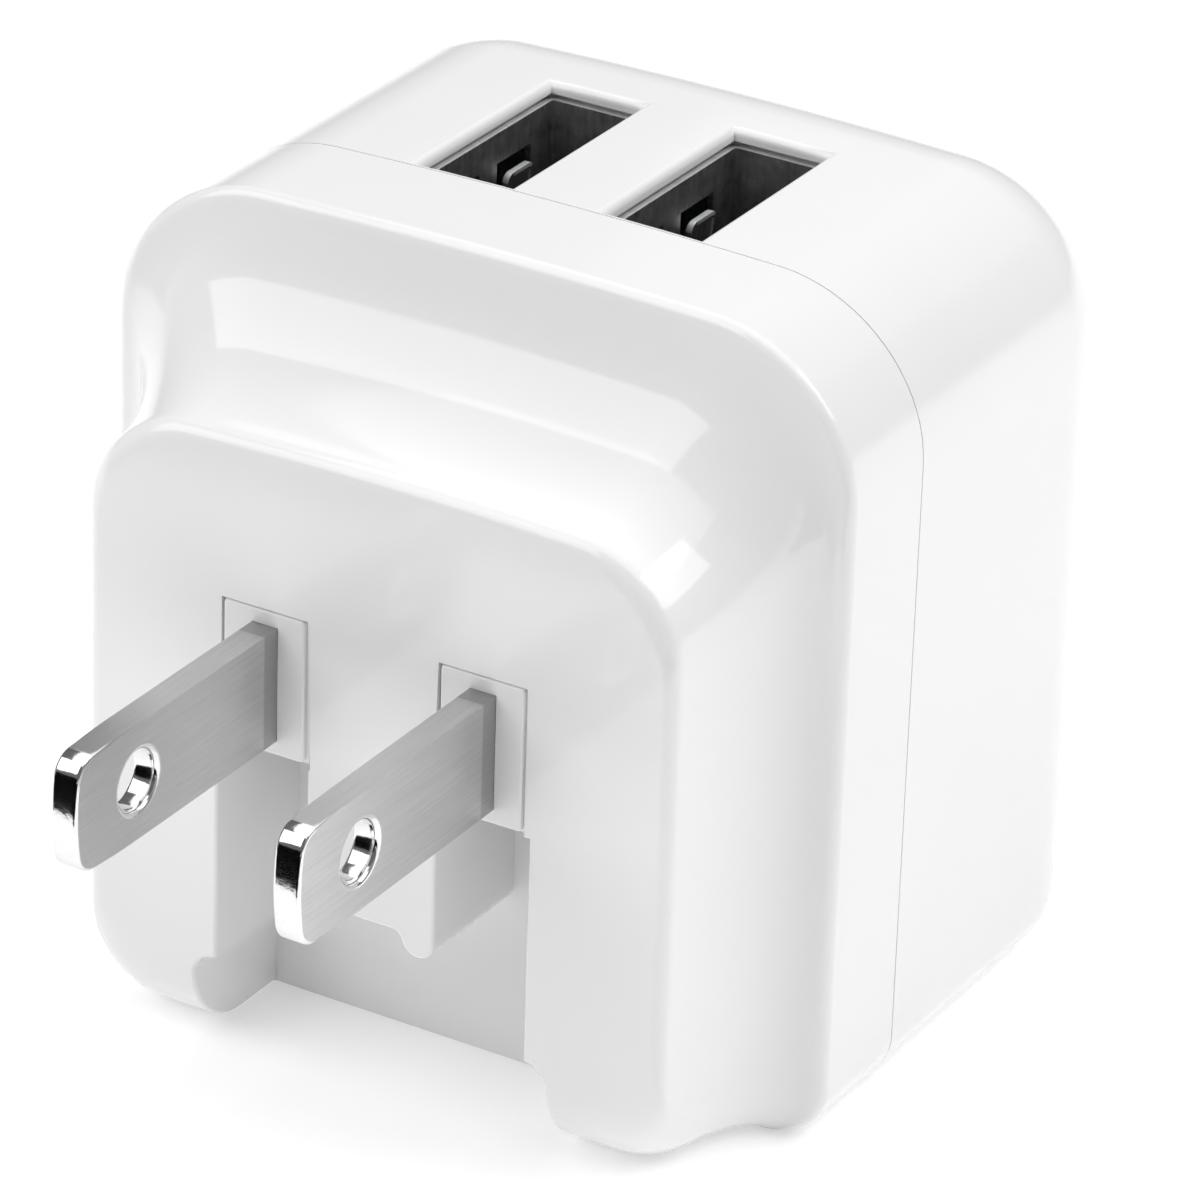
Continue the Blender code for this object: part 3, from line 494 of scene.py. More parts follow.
# %% [markdown]
# ## Sections of the body
#
# Every section across the body is a rounded rectangle with a slightly crowned
# top. From front to back it starts as the plug block, sweeps out along a
# quarter of an ellipse to form the cove, turns at a narrow rim, and then runs
# straight. So one formula gives the section at any depth.

# %% Section formulas
CORNER_STEPS = 18
LEAST_CORNER = 1.0 * MM  # inside a wall, corners stay at least this round
LEAST_BACK_CORNER = 0.6 * MM
CROWN_SHARES = (0.75, 0.5, 0.25, 0, -0.25, -0.5, -0.75)


def section(y, half_width, top, bottom, top_corner, bottom_corner):
    """One section of the body at y."""
    right = half_width - top_corner
    low_right = half_width - bottom_corner
    flat = arc(right, top - top_corner, top_corner, 0, 90, CORNER_STEPS)
    flat += [(right * share, top) for share in CROWN_SHARES]
    flat += arc(-right, top - top_corner, top_corner, 90, 180, CORNER_STEPS)
    flat += arc(-low_right, bottom + bottom_corner, bottom_corner, 180, 270, CORNER_STEPS)
    flat += arc(low_right, bottom + bottom_corner, bottom_corner, 270, 360, CORNER_STEPS)
    waist = (top + bottom) / 2
    ring = []
    for x, z in flat:
        height = max(0.0, (z - waist) / (top - waist))
        ring.append((x, y, z - TOP_CROWN * (x / half_width) ** 2 * height**2))
    return ring


def edge_inset(depth, radius):
    """How far an edge of this radius pulls a section in, at a depth behind its start."""
    if depth >= radius:
        return 0.0
    return radius - math.sqrt(radius**2 - (radius - depth) ** 2)


def cover_section(y, wall=0.0):
    """The front cover at y: plug block, hollow cove, then the rim."""
    depth = max(0.0, y - wall)
    spread = 1 - math.sqrt(1 - min(1.0, depth / RIM_Y) ** 2)
    edge = edge_inset(depth, BLOCK_EDGE)
    rim = RIM_ROUND if depth <= RIM_Y else edge_inset(depth - RIM_Y, RIM_ROUND)
    inset = wall + spread * rim
    corner = BLOCK_TOP_CORNER + spread * (TOP_CORNER - BLOCK_TOP_CORNER)
    low_corner = BLOCK_BOTTOM_CORNER + spread * (BOTTOM_CORNER - BLOCK_BOTTOM_CORNER)
    return section(
        y,
        BLOCK_HALF_WIDTH + spread * (HALF_WIDTH - BLOCK_HALF_WIDTH) - edge - inset,
        BLOCK_TOP + spread * (TOP - BLOCK_TOP) - edge - inset,
        BOTTOM + edge_inset(depth, BLOCK_BOTTOM_EDGE) + wall,
        corner - min(inset, corner / 2),
        max(low_corner - wall, LEAST_CORNER),
    )


def housing_section(y, wall=0.0):
    """The rear housing at y, pulled in where its back edges are round."""
    inset = wall + edge_inset(max(0.0, BACK_Y - wall - y), BACK_ROUND - wall)
    return section(
        y,
        HALF_WIDTH - inset,
        TOP - inset,
        BOTTOM + inset,
        max(TOP_CORNER - inset, LEAST_CORNER),
        max(BOTTOM_CORNER - inset, LEAST_BACK_CORNER),
    )


def turn_stations(start, radius, angles, rising=True):
    """Places along Y that follow an arc evenly, so that it looks round."""
    if rising:
        return [start + radius * math.sin(math.radians(a)) for a in angles]
    return [start + radius * (1 - math.cos(math.radians(a))) for a in angles]


print("front section points:", len(cover_section(0.0)))

# %% [markdown]
# ## Front cover
#
# The cover is one moulding: the plug block, the cove and a short skirt. The
# blades fold down into two slots in its face. Between the slots stands a rib
# that ends in two round legs with an arch between them, and under it a wide
# finger pocket lets a fingertip reach the blades. Stations are close together
# where the surface bends, so that long reflections in it stay smooth.

# %% Front cover: the skin
COVER_BACK_Y = PARTING_Y + 0.12 * MM
RIM_ANGLES = (12, 24, 36, 48, 60, 75, 90)

stations = turn_stations(0.0, BLOCK_EDGE, range(0, 90, 15), rising=False)
stations += [y for y in turn_stations(0.0, RIM_Y, range(6, 91, 3)) if y > 0.95 * BLOCK_EDGE]
stations += turn_stations(RIM_Y, RIM_ROUND, RIM_ANGLES, rising=False)
stations.append(COVER_BACK_Y)
cover = loft("front_cover_shell", [cover_section(y) for y in stations])

hollow_stations = [COVER_WALL + y for y in turn_stations(0.0, RIM_Y, range(0, 91, 10))]
hollow_stations += [COVER_WALL + RIM_Y + RIM_ROUND, PARTING_Y + OUTSIDE]
hollow = loft("cover_hollow", [cover_section(y, COVER_WALL) for y in hollow_stations])
print("cover stations:", len(stations))

# %% Front cover: slots, rib and finger pocket
PRONG_X = (blade_low.x + blade_high.x) / 2
FOLD_DEPTH = 7.7 * MM
FOLD_WALL = 1.5 * MM
FOLD_OUTER_X = 9.15 * MM
FOLD_TOP_Z = -4.2 * MM
WINDOW_HALF_WIDTH = 2.56 * MM
WINDOW_TOP_Z = 4.03 * MM
WINDOW_DEPTH = 12.7 * MM
FOLD_INNER_X = PRONG_X - WINDOW_HALF_WIDTH
RIB_LEG_END_Z = -12.9 * MM
RIB_ARCH_Z = -11.7 * MM
RIB_LEG_RADIUS = 0.95 * MM
RIB_ARCH_CORNER = 0.6 * MM
RIB_LAP = 0.2 * MM
WINDOW_LAP = 0.5 * MM
POCKET_HALF_WIDTH = 10.5 * MM
POCKET_TOP_Z = -16.8 * MM
POCKET_CORNER = 1.2 * MM

keep = block(
    "fold_walls",
    (-POCKET_HALF_WIDTH - FOLD_WALL, -LAP, BOTTOM - LAP),
    (POCKET_HALF_WIDTH + FOLD_WALL, FOLD_DEPTH + FOLD_WALL, FOLD_TOP_Z),
)
cut(hollow, keep)
cut(cover, hollow)

leg_x = FOLD_INNER_X - RIB_LEG_RADIUS
leg_z = RIB_LEG_END_Z + RIB_LEG_RADIUS
arch_corner_z = RIB_ARCH_Z - RIB_ARCH_CORNER
corner_reach = RIB_LEG_RADIUS + RIB_ARCH_CORNER
lean = math.asin((leg_z - arch_corner_z) / corner_reach)
arch_corner_x = leg_x - corner_reach * math.cos(lean)
half_arch = [(FOLD_OUTER_X, BOTTOM - OUTSIDE), (FOLD_OUTER_X, leg_z), (FOLD_INNER_X + RIB_LAP, leg_z)]
half_arch += arc(leg_x, leg_z, RIB_LEG_RADIUS, 0, math.degrees(lean) - 180, 16)
half_arch += arc(arch_corner_x, arch_corner_z, RIB_ARCH_CORNER, math.degrees(lean), 90, 6)[1:]
under_rib = half_arch + [(-x, z) for x, z in reversed(half_arch)]

half_pocket = [(POCKET_HALF_WIDTH, BOTTOM - OUTSIDE)]
round_x = POCKET_HALF_WIDTH - POCKET_CORNER
half_pocket += arc(round_x, POCKET_TOP_Z - POCKET_CORNER, POCKET_CORNER, 0, 90, 10)
pocket = half_pocket + [(-x, z) for x, z in reversed(half_pocket)]

openings = [slab("under_rib", under_rib, -OUTSIDE, FOLD_DEPTH)]
openings += [slab("finger_pocket", pocket, -OUTSIDE, FOLD_DEPTH)]
for side in (-1, 1):
    start_x, end_x = sorted((side * FOLD_INNER_X, side * FOLD_OUTER_X))
    slot_corner = (start_x, -OUTSIDE, BOTTOM - OUTSIDE)
    openings.append(block("blade_slot", slot_corner, (end_x, FOLD_DEPTH, FOLD_TOP_Z)))
    x = side * PRONG_X
    window_corner = (x - WINDOW_HALF_WIDTH, -OUTSIDE, FOLD_TOP_Z - WINDOW_LAP)
    far_corner = (x + WINDOW_HALF_WIDTH, WINDOW_DEPTH, WINDOW_TOP_Z)
    openings.append(block("tile_window", window_corner, far_corner))
cut(cover, *openings)
print("openings in the cover:", len(openings))

# %% Front cover: soft edges round the openings
SLOT_EDGE = 0.2 * MM
ROUND_PLAY = 0.06 * MM  # how far the flats of a round may lie from its true arc
block_bottom_round_z = BOTTOM + BLOCK_BOTTOM_EDGE


def on_block_skin(point):
    """True on the flat plug face, and on the round that leads down from it to the base."""
    if abs(point.x) > POCKET_HALF_WIDTH + HAIR or point.z > WINDOW_TOP_Z + HAIR:
        return False
    if point.z >= block_bottom_round_z:
        return abs(point.y) < HAIR
    drop = min(block_bottom_round_z - point.z, BLOCK_BOTTOM_EDGE)
    skin_y = BLOCK_BOTTOM_EDGE - math.sqrt(BLOCK_BOTTOM_EDGE**2 - drop**2)
    on_base = abs(point.z - BOTTOM) < HAIR and skin_y - HAIR < point.y < FOLD_DEPTH - HAIR
    return on_base or abs(point.y - skin_y) < ROUND_PLAY


def on_slot_mouth(point):
    """True below the tile windows, whose own edges stay sharp."""
    return on_block_skin(point) and point.z < FOLD_TOP_Z + HAIR


round_edges(cover, on_slot_mouth, SLOT_EDGE)
finish_piece(cover, "body", ["front_cover"], gloss_plastic)

# %% [markdown]
# ## Rear housing
#
# The rear housing is a deep box with all its back edges round. Its top has a
# mouth for each socket, whose plastic edge is thin, because a recess behind it
# lets the steel sit almost flush. Nearly no gap shows where it meets the
# cover, so here the two stop a hair apart, as a tight real seam does.

# %% Rear housing
PORT_WIDTH = 5.4 * MM
PORT_LENGTH = 12.7 * MM
PORT_EDGE = 0.42 * MM
SKIN_DROP = 0.3 * MM  # the crown of the top lowers a mouth's far corners by less than this
PORT_CUT = 4 * MM
RECESS_CUT = 5 * MM
RECESS_GAP = 0.3 * MM

housing_start = COVER_BACK_Y + SEAM
straight_end = BACK_Y - BACK_ROUND
stations = [housing_start] + turn_stations(straight_end, BACK_ROUND, range(0, 91, 6))
housing = loft("rear_housing_shell", [housing_section(y) for y in stations])
inner_round = BACK_ROUND - HOUSING_WALL
stations = [housing_start - OUTSIDE] + turn_stations(straight_end, inner_round, range(0, 91, 15))
cut(housing, loft("housing_hollow", [housing_section(y, HOUSING_WALL) for y in stations]))

port_x = (shell_low.x + shell_high.x) / 2
port_y = (shell_low.y + shell_high.y) / 2
shell_half_x = (shell_high.x - shell_low.x) / 2
shell_half_y = (shell_high.y - shell_low.y) / 2


def port_block(name, x, half_x, half_y, low_z, high_z):
    """A cutter about the middle of a socket."""
    return block(name, (x - half_x, port_y - half_y, low_z), (x + half_x, port_y + half_y, high_z))


openings = []
for x in (-port_x, port_x):
    mouth_half = (PORT_WIDTH / 2, PORT_LENGTH / 2)
    openings.append(port_block("port_mouth", x, *mouth_half, TOP - PORT_CUT, TOP + OUTSIDE))
    recess_half = (shell_half_x + RECESS_GAP, shell_half_y + RECESS_GAP)
    recess_top = shell_high.z + RECESS_GAP
    openings.append(port_block("port_recess", x, *recess_half, TOP - RECESS_CUT, recess_top))
cut(housing, *openings)


def on_port_mouth(point):
    """True on the edges of the two socket mouths, at the outer skin."""
    across = abs(abs(point.x) - port_x) < PORT_WIDTH / 2 + HAIR
    along = abs(point.y - port_y) < PORT_LENGTH / 2 + HAIR
    return across and along and point.z > TOP - SKIN_DROP


round_edges(housing, on_port_mouth, PORT_EDGE, steps=4)
finish_piece(housing, "body", ["rear_housing"], gloss_plastic)

# %% [markdown]
# ## Nickel-plated blades
#
# The two blades are stamped from brass strip and plated with nickel. Their flat
# sides keep fine lines from the strip's rolling, which run along the blade and
# smear reflections. The last millimetre before the carrier is painted a little darker,
# as a painted reflection of the carrier tile. The stamped ends and the hole are
# tumbled smooth, so there the plating mirrors the room sharply. Two finishes
# share one blade for that.

# %% Brushed and polished nickel
ROLLING_LINE = 0.07 * MM  # real lines are about half as wide, too fine to show
LINE_LENGTH = 5 * MM
BLOTCH = 1.3 * MM
# Painted reflection: the blade is painted darker this far from the carrier.
PAINTED_ROOT_REFLECTION = 1.1 * MM
PAINTED_REFLECTION_FADE = 0.12 * MM
LINE_DEPTH = 0.004 * MM
PIT_SIZE = 0.28 * MM
PIT_DEPTH = 0.006 * MM

brushed, tree, shader, place = new_finish("rolled_nickel_plate")
line_scale = (1 / ROLLING_LINE, 1 / LINE_LENGTH, 1 / ROLLING_LINE)
stretch = add(tree, "Mapping", inputs={"Vector": place, "Scale": line_scale})
fine = {"Vector": stretch.outputs["Vector"], "Scale": 1.0, "Detail": 3.0, "Roughness": 0.6}
lines = add(tree, "TexNoise", inputs=fine)
wide = {"Vector": place, "Scale": 1 / BLOTCH, "Detail": 4.0, "Roughness": 0.65}
blotch = add(tree, "TexNoise", inputs=wide)
tones = {"Factor": lines.outputs["Fac"], "A": srgb("B3B3B3"), "B": srgb("D7D7D7")}
streak = add(tree, "Mix", {"data_type": "RGBA"}, tones)
cloud = add(tree, "MapRange", inputs={"Value": blotch.outputs["Fac"], "To Min": 0.26, "To Max": 0.42})
relief = {"Height": lines.outputs["Fac"], "Distance": LINE_DEPTH, "Strength": 1.0}
bump = add(tree, "Bump", inputs=relief)
# Painted reflection: the last millimetre before the carrier is multiplied darker, standing in for the dark
# reflection of the carrier tile.
along = add(tree, "SeparateXYZ", inputs={"Vector": place})
painted_reflection_span = {"Value": along.outputs["Y"], "From Min": -PAINTED_ROOT_REFLECTION - PAINTED_REFLECTION_FADE, "From Max": -PAINTED_ROOT_REFLECTION}
painted_root_reflection = add(tree, "MapRange", inputs=painted_reflection_span)
tones = {"Factor": painted_root_reflection.outputs["Result"], "A": streak.outputs["Result"], "B": srgb("DDDDDD")}
shade = add(tree, "Mix", {"data_type": "RGBA", "blend_type": "MULTIPLY"}, tones)
tree.links.new(shade.outputs["Result"], shader.inputs["Base Color"])
tree.links.new(cloud.outputs["Result"], shader.inputs["Roughness"])
tree.links.new(bump.outputs["Normal"], shader.inputs["Normal"])
shader.inputs["Metallic"].default_value = 1.0

polished, tree, shader, place = new_finish("tumbled_nickel_plate")
pits = add(tree, "TexNoise", inputs={"Vector": place, "Scale": 1 / PIT_SIZE, "Detail": 3.0})
haze = add(tree, "MapRange", inputs={"Value": pits.outputs["Fac"], "To Min": 0.05, "To Max": 0.16})
relief = {"Height": pits.outputs["Fac"], "Distance": PIT_DEPTH, "Strength": 1.0}
bump = add(tree, "Bump", inputs=relief)
tones = {"Factor": pits.outputs["Fac"], "A": srgb("DDDDDD"), "B": srgb("EBEBEB")}
tint = add(tree, "Mix", {"data_type": "RGBA"}, tones)
tree.links.new(tint.outputs["Result"], shader.inputs["Base Color"])
tree.links.new(haze.outputs["Result"], shader.inputs["Roughness"])
tree.links.new(bump.outputs["Normal"], shader.inputs["Normal"])
shader.inputs["Metallic"].default_value = 1.0

# %% [markdown]
# ## Blades
#
# A blade is an outline given a thickness: a tail and a narrow neck inside the
# carrier, then the blade with a slightly bowed end and well-rounded corners.
# The hole is cut before the edges are softened, so its rim is softened too.

# %% Blade outline
BLADE_THICK = blade_high.x - blade_low.x
BLADE_HALF_HEIGHT = 3.15 * MM
NECK_HALF_HEIGHT = 1.5 * MM
BLADE_TIP_Y = blade_low.y
BLADE_TAIL_Y = blade_high.y
SHOULDER_Y = 1.2 * MM
TIP_ROUND = 1.4 * MM
TIP_BOW = 12 * MM
HOLE_Y = -12.1 * MM
HOLE_RADIUS = 1.6 * MM
BLADE_EDGE = 0.2 * MM
HOLE_EDGE = 0.3 * MM
HOLE_CUT = 6 * MM

reach = TIP_BOW - TIP_ROUND
tip_round_z = BLADE_HALF_HEIGHT - TIP_ROUND
lean = math.asin(tip_round_z / reach)
tip_round_y = BLADE_TIP_Y + TIP_BOW - reach * math.cos(lean)
turn = math.degrees(lean)
blade_outline = [(BLADE_TAIL_Y, -NECK_HALF_HEIGHT), (BLADE_TAIL_Y, NECK_HALF_HEIGHT)]
blade_outline += [(SHOULDER_Y, NECK_HALF_HEIGHT), (SHOULDER_Y, BLADE_HALF_HEIGHT)]
blade_outline += arc(tip_round_y, tip_round_z, TIP_ROUND, 90, 180 - turn, 12)
blade_outline += arc(BLADE_TIP_Y + TIP_BOW, 0, TIP_BOW, 180 - turn, 180 + turn, 8)[1:-1]
blade_outline += arc(tip_round_y, -tip_round_z, TIP_ROUND, 180 + turn, 270, 12)
blade_outline += [(SHOULDER_Y, -BLADE_HALF_HEIGHT), (SHOULDER_Y, -NECK_HALF_HEIGHT)]
print("blade outline points:", len(blade_outline))

# %% Blades
for name, side in (("left", -1), ("right", 1)):
    x = side * PRONG_X
    half = BLADE_THICK / 2
    blade = slab("blade_" + name, blade_outline, x - half, x + half, "X")
    cut(blade, drum("blade_hole", (x, HOLE_Y, 0), HOLE_RADIUS, HOLE_CUT, "X", 56))

    def on_hole(point):
        return math.hypot(point.y - HOLE_Y, point.z) < HOLE_RADIUS + HAIR

    def on_outline(point):
        on_side = abs(abs(point.x - x) - half) < HAIR / 2
        return on_side and not on_hole(point) and point.y < SHOULDER_Y

    round_edges(blade, on_hole, HOLE_EDGE, steps=4)
    round_edges(blade, on_outline, BLADE_EDGE, steps=3, least=60)
    finish_piece(blade, "prongs", ["prong_" + name], brushed)
    blade.data.materials.append(polished)
    for face in blade.data.polygons:
        on_flat_side = abs(face.normal.x) > 0.999
        in_hole = math.hypot(face.center.y - HOLE_Y, face.center.z) < HOLE_RADIUS + 1.1 * HOLE_EDGE
        at_tip = face.center.y < BLADE_TIP_Y + TIP_ROUND
        if not on_flat_side and (in_hole or at_tip):
            face.material_index = 1

# %% [markdown]
# ## Carrier plastic
#
# The carrier that turns with the blades is nylon with a satin finish. It is
# duller than the polished shells, so its two tiles read as separate pieces.

# %% Satin nylon
satin_plastic, tree, shader, place = new_finish("white_satin_moulded_nylon")
SPARK_GRAIN = 0.12 * MM
SPARK_DEPTH = 0.002 * MM
grain = add(tree, "TexNoise", inputs={"Vector": place, "Scale": 1 / SPARK_GRAIN, "Detail": 2.0})
tones = {"Factor": grain.outputs["Fac"], "A": srgb("F3F3F3"), "B": srgb("F0F0F0")}
tone = add(tree, "Mix", {"data_type": "RGBA"}, tones)
relief = {"Height": grain.outputs["Fac"], "Distance": SPARK_DEPTH, "Strength": 1.0}
bump = add(tree, "Bump", inputs=relief)
tree.links.new(tone.outputs["Result"], shader.inputs["Base Color"])
tree.links.new(bump.outputs["Normal"], shader.inputs["Normal"])
shader.inputs["Roughness"].default_value = 0.34
shader.inputs["IOR"].default_value = 1.53

# %% [markdown]
# ## Carrier
#
# One shaft joins two tiles and a hub. Each tile is square in front and round
# behind, so that it can turn in its window without touching, and a blade
# passes through it. The tiles sit a little to one side in their windows, as
# real parts do with their play, so the gap is wider on the right. Just under
# its face each tile is wider, and the gap round it ends there, so it is a
# shallow grey line and not a black one.

# %% Carrier
SHAFT_RADIUS = 1.3 * MM
HUB_RADIUS = 1.75 * MM
HUB_HALF_WIDTH = 1.8 * MM
TILE_HALF_WIDTH = 2.34 * MM
TILE_PLAY = 0.11 * MM
TILE_HALF_HEIGHT = 3.95 * MM
TILE_BACK_RADIUS = 4.25 * MM
TILE_EDGE = 0.14 * MM
TILE_CORNER = 0.22 * MM
SKIRT_HALF_WIDTH = WINDOW_HALF_WIDTH - 0.03 * MM
SKIRT_HALF_HEIGHT = 4.01 * MM
SKIRT_DEPTH = 0.3 * MM
BLADE_FIT = 0.015 * MM
NECK_START = 0.5 * MM
NECK_END = 11 * MM
SHAFT_HALF_LENGTH = carrier_high.x

carrier = drum("carrier", (0, HINGE_Y, 0), SHAFT_RADIUS, 2 * SHAFT_HALF_LENGTH, "X", 48)
join(carrier, drum("hub", (0, HINGE_Y, 0), HUB_RADIUS, 2 * HUB_HALF_WIDTH, "X", 48))
bend = math.degrees(math.asin(TILE_HALF_HEIGHT / TILE_BACK_RADIUS))
tile_outline = [(0, -TILE_HALF_HEIGHT)]
tile_outline += arc(HINGE_Y, 0, TILE_BACK_RADIUS, -bend, bend, 24)
tile_outline += [(0, TILE_HALF_HEIGHT)]
skirt_outline = tile_outline[1:-1]
skirt_outline += [(SKIRT_DEPTH, SKIRT_HALF_HEIGHT), (SKIRT_DEPTH, -SKIRT_HALF_HEIGHT)]
for side in (-1, 1):
    x = side * PRONG_X
    low_x, high_x = x - TILE_HALF_WIDTH - TILE_PLAY, x + TILE_HALF_WIDTH
    tile = slab("tile", tile_outline, low_x, high_x, "X")

    def on_tile_corner(point):
        return abs(abs(point.z) - TILE_HALF_HEIGHT) < HAIR

    def on_tile_front(point):
        return abs(point.y) < HAIR

    def runs_back(edge):
        start, end = (vert.co for vert in edge.verts)
        return abs((start - end).normalized().y) > 0.99

    bm = bmesh.new()
    bm.from_mesh(tile.data)
    at_corners = [edge for edge in bm.edges if all(on_tile_corner(vert.co) for vert in edge.verts)]
    bmesh.ops.bevel(
        bm,
        geom=[edge for edge in at_corners if runs_back(edge)],
        offset=TILE_CORNER,
        segments=4,
        profile=0.5,
        affect="EDGES",
    )
    bm.to_mesh(tile.data)
    bm.free()
    round_edges(tile, on_tile_front, TILE_EDGE, steps=3)
    skirt = slab("tile_skirt", skirt_outline, x - SKIRT_HALF_WIDTH, x + SKIRT_HALF_WIDTH, "X")
    join(carrier, tile, skirt)
    half = BLADE_THICK / 2 + BLADE_FIT
    mouth_half = BLADE_HALF_HEIGHT + BLADE_FIT
    neck_half = NECK_HALF_HEIGHT + BLADE_FIT
    mouth_end = SHOULDER_Y + BLADE_FIT
    cut(
        carrier,
        block("mouth", (x - half, -LAP, -mouth_half), (x + half, mouth_end, mouth_half)),
        block("neck", (x - half, NECK_START, -neck_half), (x + half, NECK_END, neck_half)),
    )
finish_piece(carrier, "prongs", ["prong_carrier"], satin_plastic)

# %% [markdown]
# ## Socket steel
#
# The sockets are folded from thin steel strip with a dull tin plating. Deep in
# a mouth that lets in little light it looks almost black, with soft streaks
# from the strip.

# %% Tinned steel
tinned_steel, tree, shader, place = new_finish("folded_tinned_steel")
STRIP_LINE = 0.25 * MM
STRIP_STRETCH = 0.12  # the lines run up the strip, about eight times as long as wide
TIN_CLOUD = 0.9 * MM
TIN_DEPTH = 0.01 * MM
line_scale = (1 / STRIP_LINE, 1 / STRIP_LINE, STRIP_STRETCH / STRIP_LINE)
stretch = add(tree, "Mapping", inputs={"Vector": place, "Scale": line_scale})
fine = {"Vector": stretch.outputs["Vector"], "Scale": 1.0, "Detail": 3.0}
lines = add(tree, "TexNoise", inputs=fine)
wide = {"Vector": place, "Scale": 1 / TIN_CLOUD, "Detail": 5.0, "Roughness": 0.6}
cloud = add(tree, "TexNoise", inputs=wide)
mixed = add(tree, "Math", {"operation": "MULTIPLY_ADD"}, {0: lines.outputs["Fac"], 1: 0.5})
tree.links.new(cloud.outputs["Fac"], mixed.inputs[2])
tone = add(tree, "ValToRGB", inputs={"Fac": mixed.outputs[0]})
tone.color_ramp.elements[0].position = 0.45
tone.color_ramp.elements[0].color = srgb("8C8C8C")
tone.color_ramp.elements[1].position = 0.95
tone.color_ramp.elements[1].color = srgb("C6C6C6")
relief = {"Height": cloud.outputs["Fac"], "Distance": TIN_DEPTH, "Strength": 1.0}
bump = add(tree, "Bump", inputs=relief)
tree.links.new(tone.outputs["Color"], shader.inputs["Base Color"])
tree.links.new(bump.outputs["Normal"], shader.inputs["Normal"])
shader.inputs["Metallic"].default_value = 1.0
shader.inputs["Roughness"].default_value = 0.42

# Painted highlight: a bright copy of the tin, painted on the rims of the springs, stands in for the light
# that they catch.
painted_highlight_tin = tinned_steel.copy()
painted_highlight_tin.name = "tin_with_painted_rim_highlight"
for node in painted_highlight_tin.node_tree.nodes:
    if node.bl_idname == "ShaderNodeValToRGB":
        node.color_ramp.elements[0].color = srgb("E6E6E6")
        node.color_ramp.elements[1].color = srgb("F8F8F8")
painted_highlight_tin.node_tree.nodes["Principled BSDF"].inputs["Roughness"].default_value = 0.6
print("finish:", painted_highlight_tin.name)

# %% [markdown]
# ## Sockets
#
# Each shell is a deep folded box, open at the top. Two springs are stamped in
# each long wall: a slot frees a strip that leans into the socket and grips the
# plug. Its rounded rim is painted a bright tin, as a painted highlight. The folds are rounded, which a plain
# box would miss.

# %% Sockets
METAL = 0.35 * MM
FOLD_RADIUS = 0.55 * MM
SPRING_OFFSET_Y = 2.5 * MM
SPRING_HALF_WIDTH = 1.25 * MM
SPRING_GAP = 0.4 * MM
SPRING_ROOT_Z = 13.6 * MM
SPRING_SLOT_Z = 19.1 * MM
SPRING_TOP_Z = 18.45 * MM
SPRING_LEAN = 0.5 * MM
SPRING_CORNER = 0.5 * MM
SPRING_RIM = 0.22 * MM
SPRING_FOOT = 0.6 * MM
DISH_HALF_HEIGHT = 0.9 * MM
DISH_DEPTH = 0.12 * MM
# Painted highlight: how far down from the spring tops the rims are painted bright.
PAINTED_HIGHLIGHT_HEIGHT = 2 * MM
MARGIN = 1.05  # a little more than a thickness, so that a test by place is safe


def rounded_rectangle(centre, half, radius, steps=6):
    """An outline in two directions, with four equal round corners."""
    inner = (half[0] - radius, half[1] - radius)
    points = arc(centre[0] + inner[0], centre[1] + inner[1], radius, 0, 90, steps)
    points += arc(centre[0] - inner[0], centre[1] + inner[1], radius, 90, 180, steps)
    points += arc(centre[0] - inner[0], centre[1] - inner[1], radius, 180, 270, steps)
    points += arc(centre[0] + inner[0], centre[1] - inner[1], radius, 270, 360, steps)
    return points


def on_spring_rim(point):
    """True outside the dish of the spring that the point is on."""
    from_middle = abs(abs(point.y - port_y) - SPRING_OFFSET_Y)
    beside = from_middle > SPRING_HALF_WIDTH - MARGIN * SPRING_RIM
    dish_top = SPRING_TOP_Z - MARGIN * SPRING_RIM
    return beside or not dish_top - 2 * DISH_HALF_HEIGHT < point.z < dish_top


def spring_strip(wall, wall_x, y):
    """One spring. Wall is the side of the socket that it stands in, and y its middle."""
    tall = SPRING_TOP_Z - SPRING_ROOT_Z + SPRING_FOOT
    outline = rounded_rectangle((y, SPRING_TOP_Z - tall / 2), (SPRING_HALF_WIDTH, tall / 2), SPRING_CORNER)
    strip = slab("spring", outline, wall_x - METAL / 2, wall_x + METAL / 2, "X")
    face_x = wall_x - wall * METAL / 2
    ends = sorted((face_x - wall * METAL, face_x + wall * DISH_DEPTH))
    dish_centre = (y, SPRING_TOP_Z - SPRING_RIM - DISH_HALF_HEIGHT)
    dish_half = (SPRING_HALF_WIDTH - SPRING_RIM, DISH_HALF_HEIGHT)
    outline = rounded_rectangle(dish_centre, dish_half, SPRING_CORNER - SPRING_RIM)
    cut(strip, slab("spring_dish", outline, *ends, "X"))
    for vert in strip.data.vertices:
        share = max(0.0, (vert.co.z - SPRING_ROOT_Z) / (SPRING_TOP_Z - SPRING_ROOT_Z))
        vert.co.x -= wall * SPRING_LEAN * share
    return strip


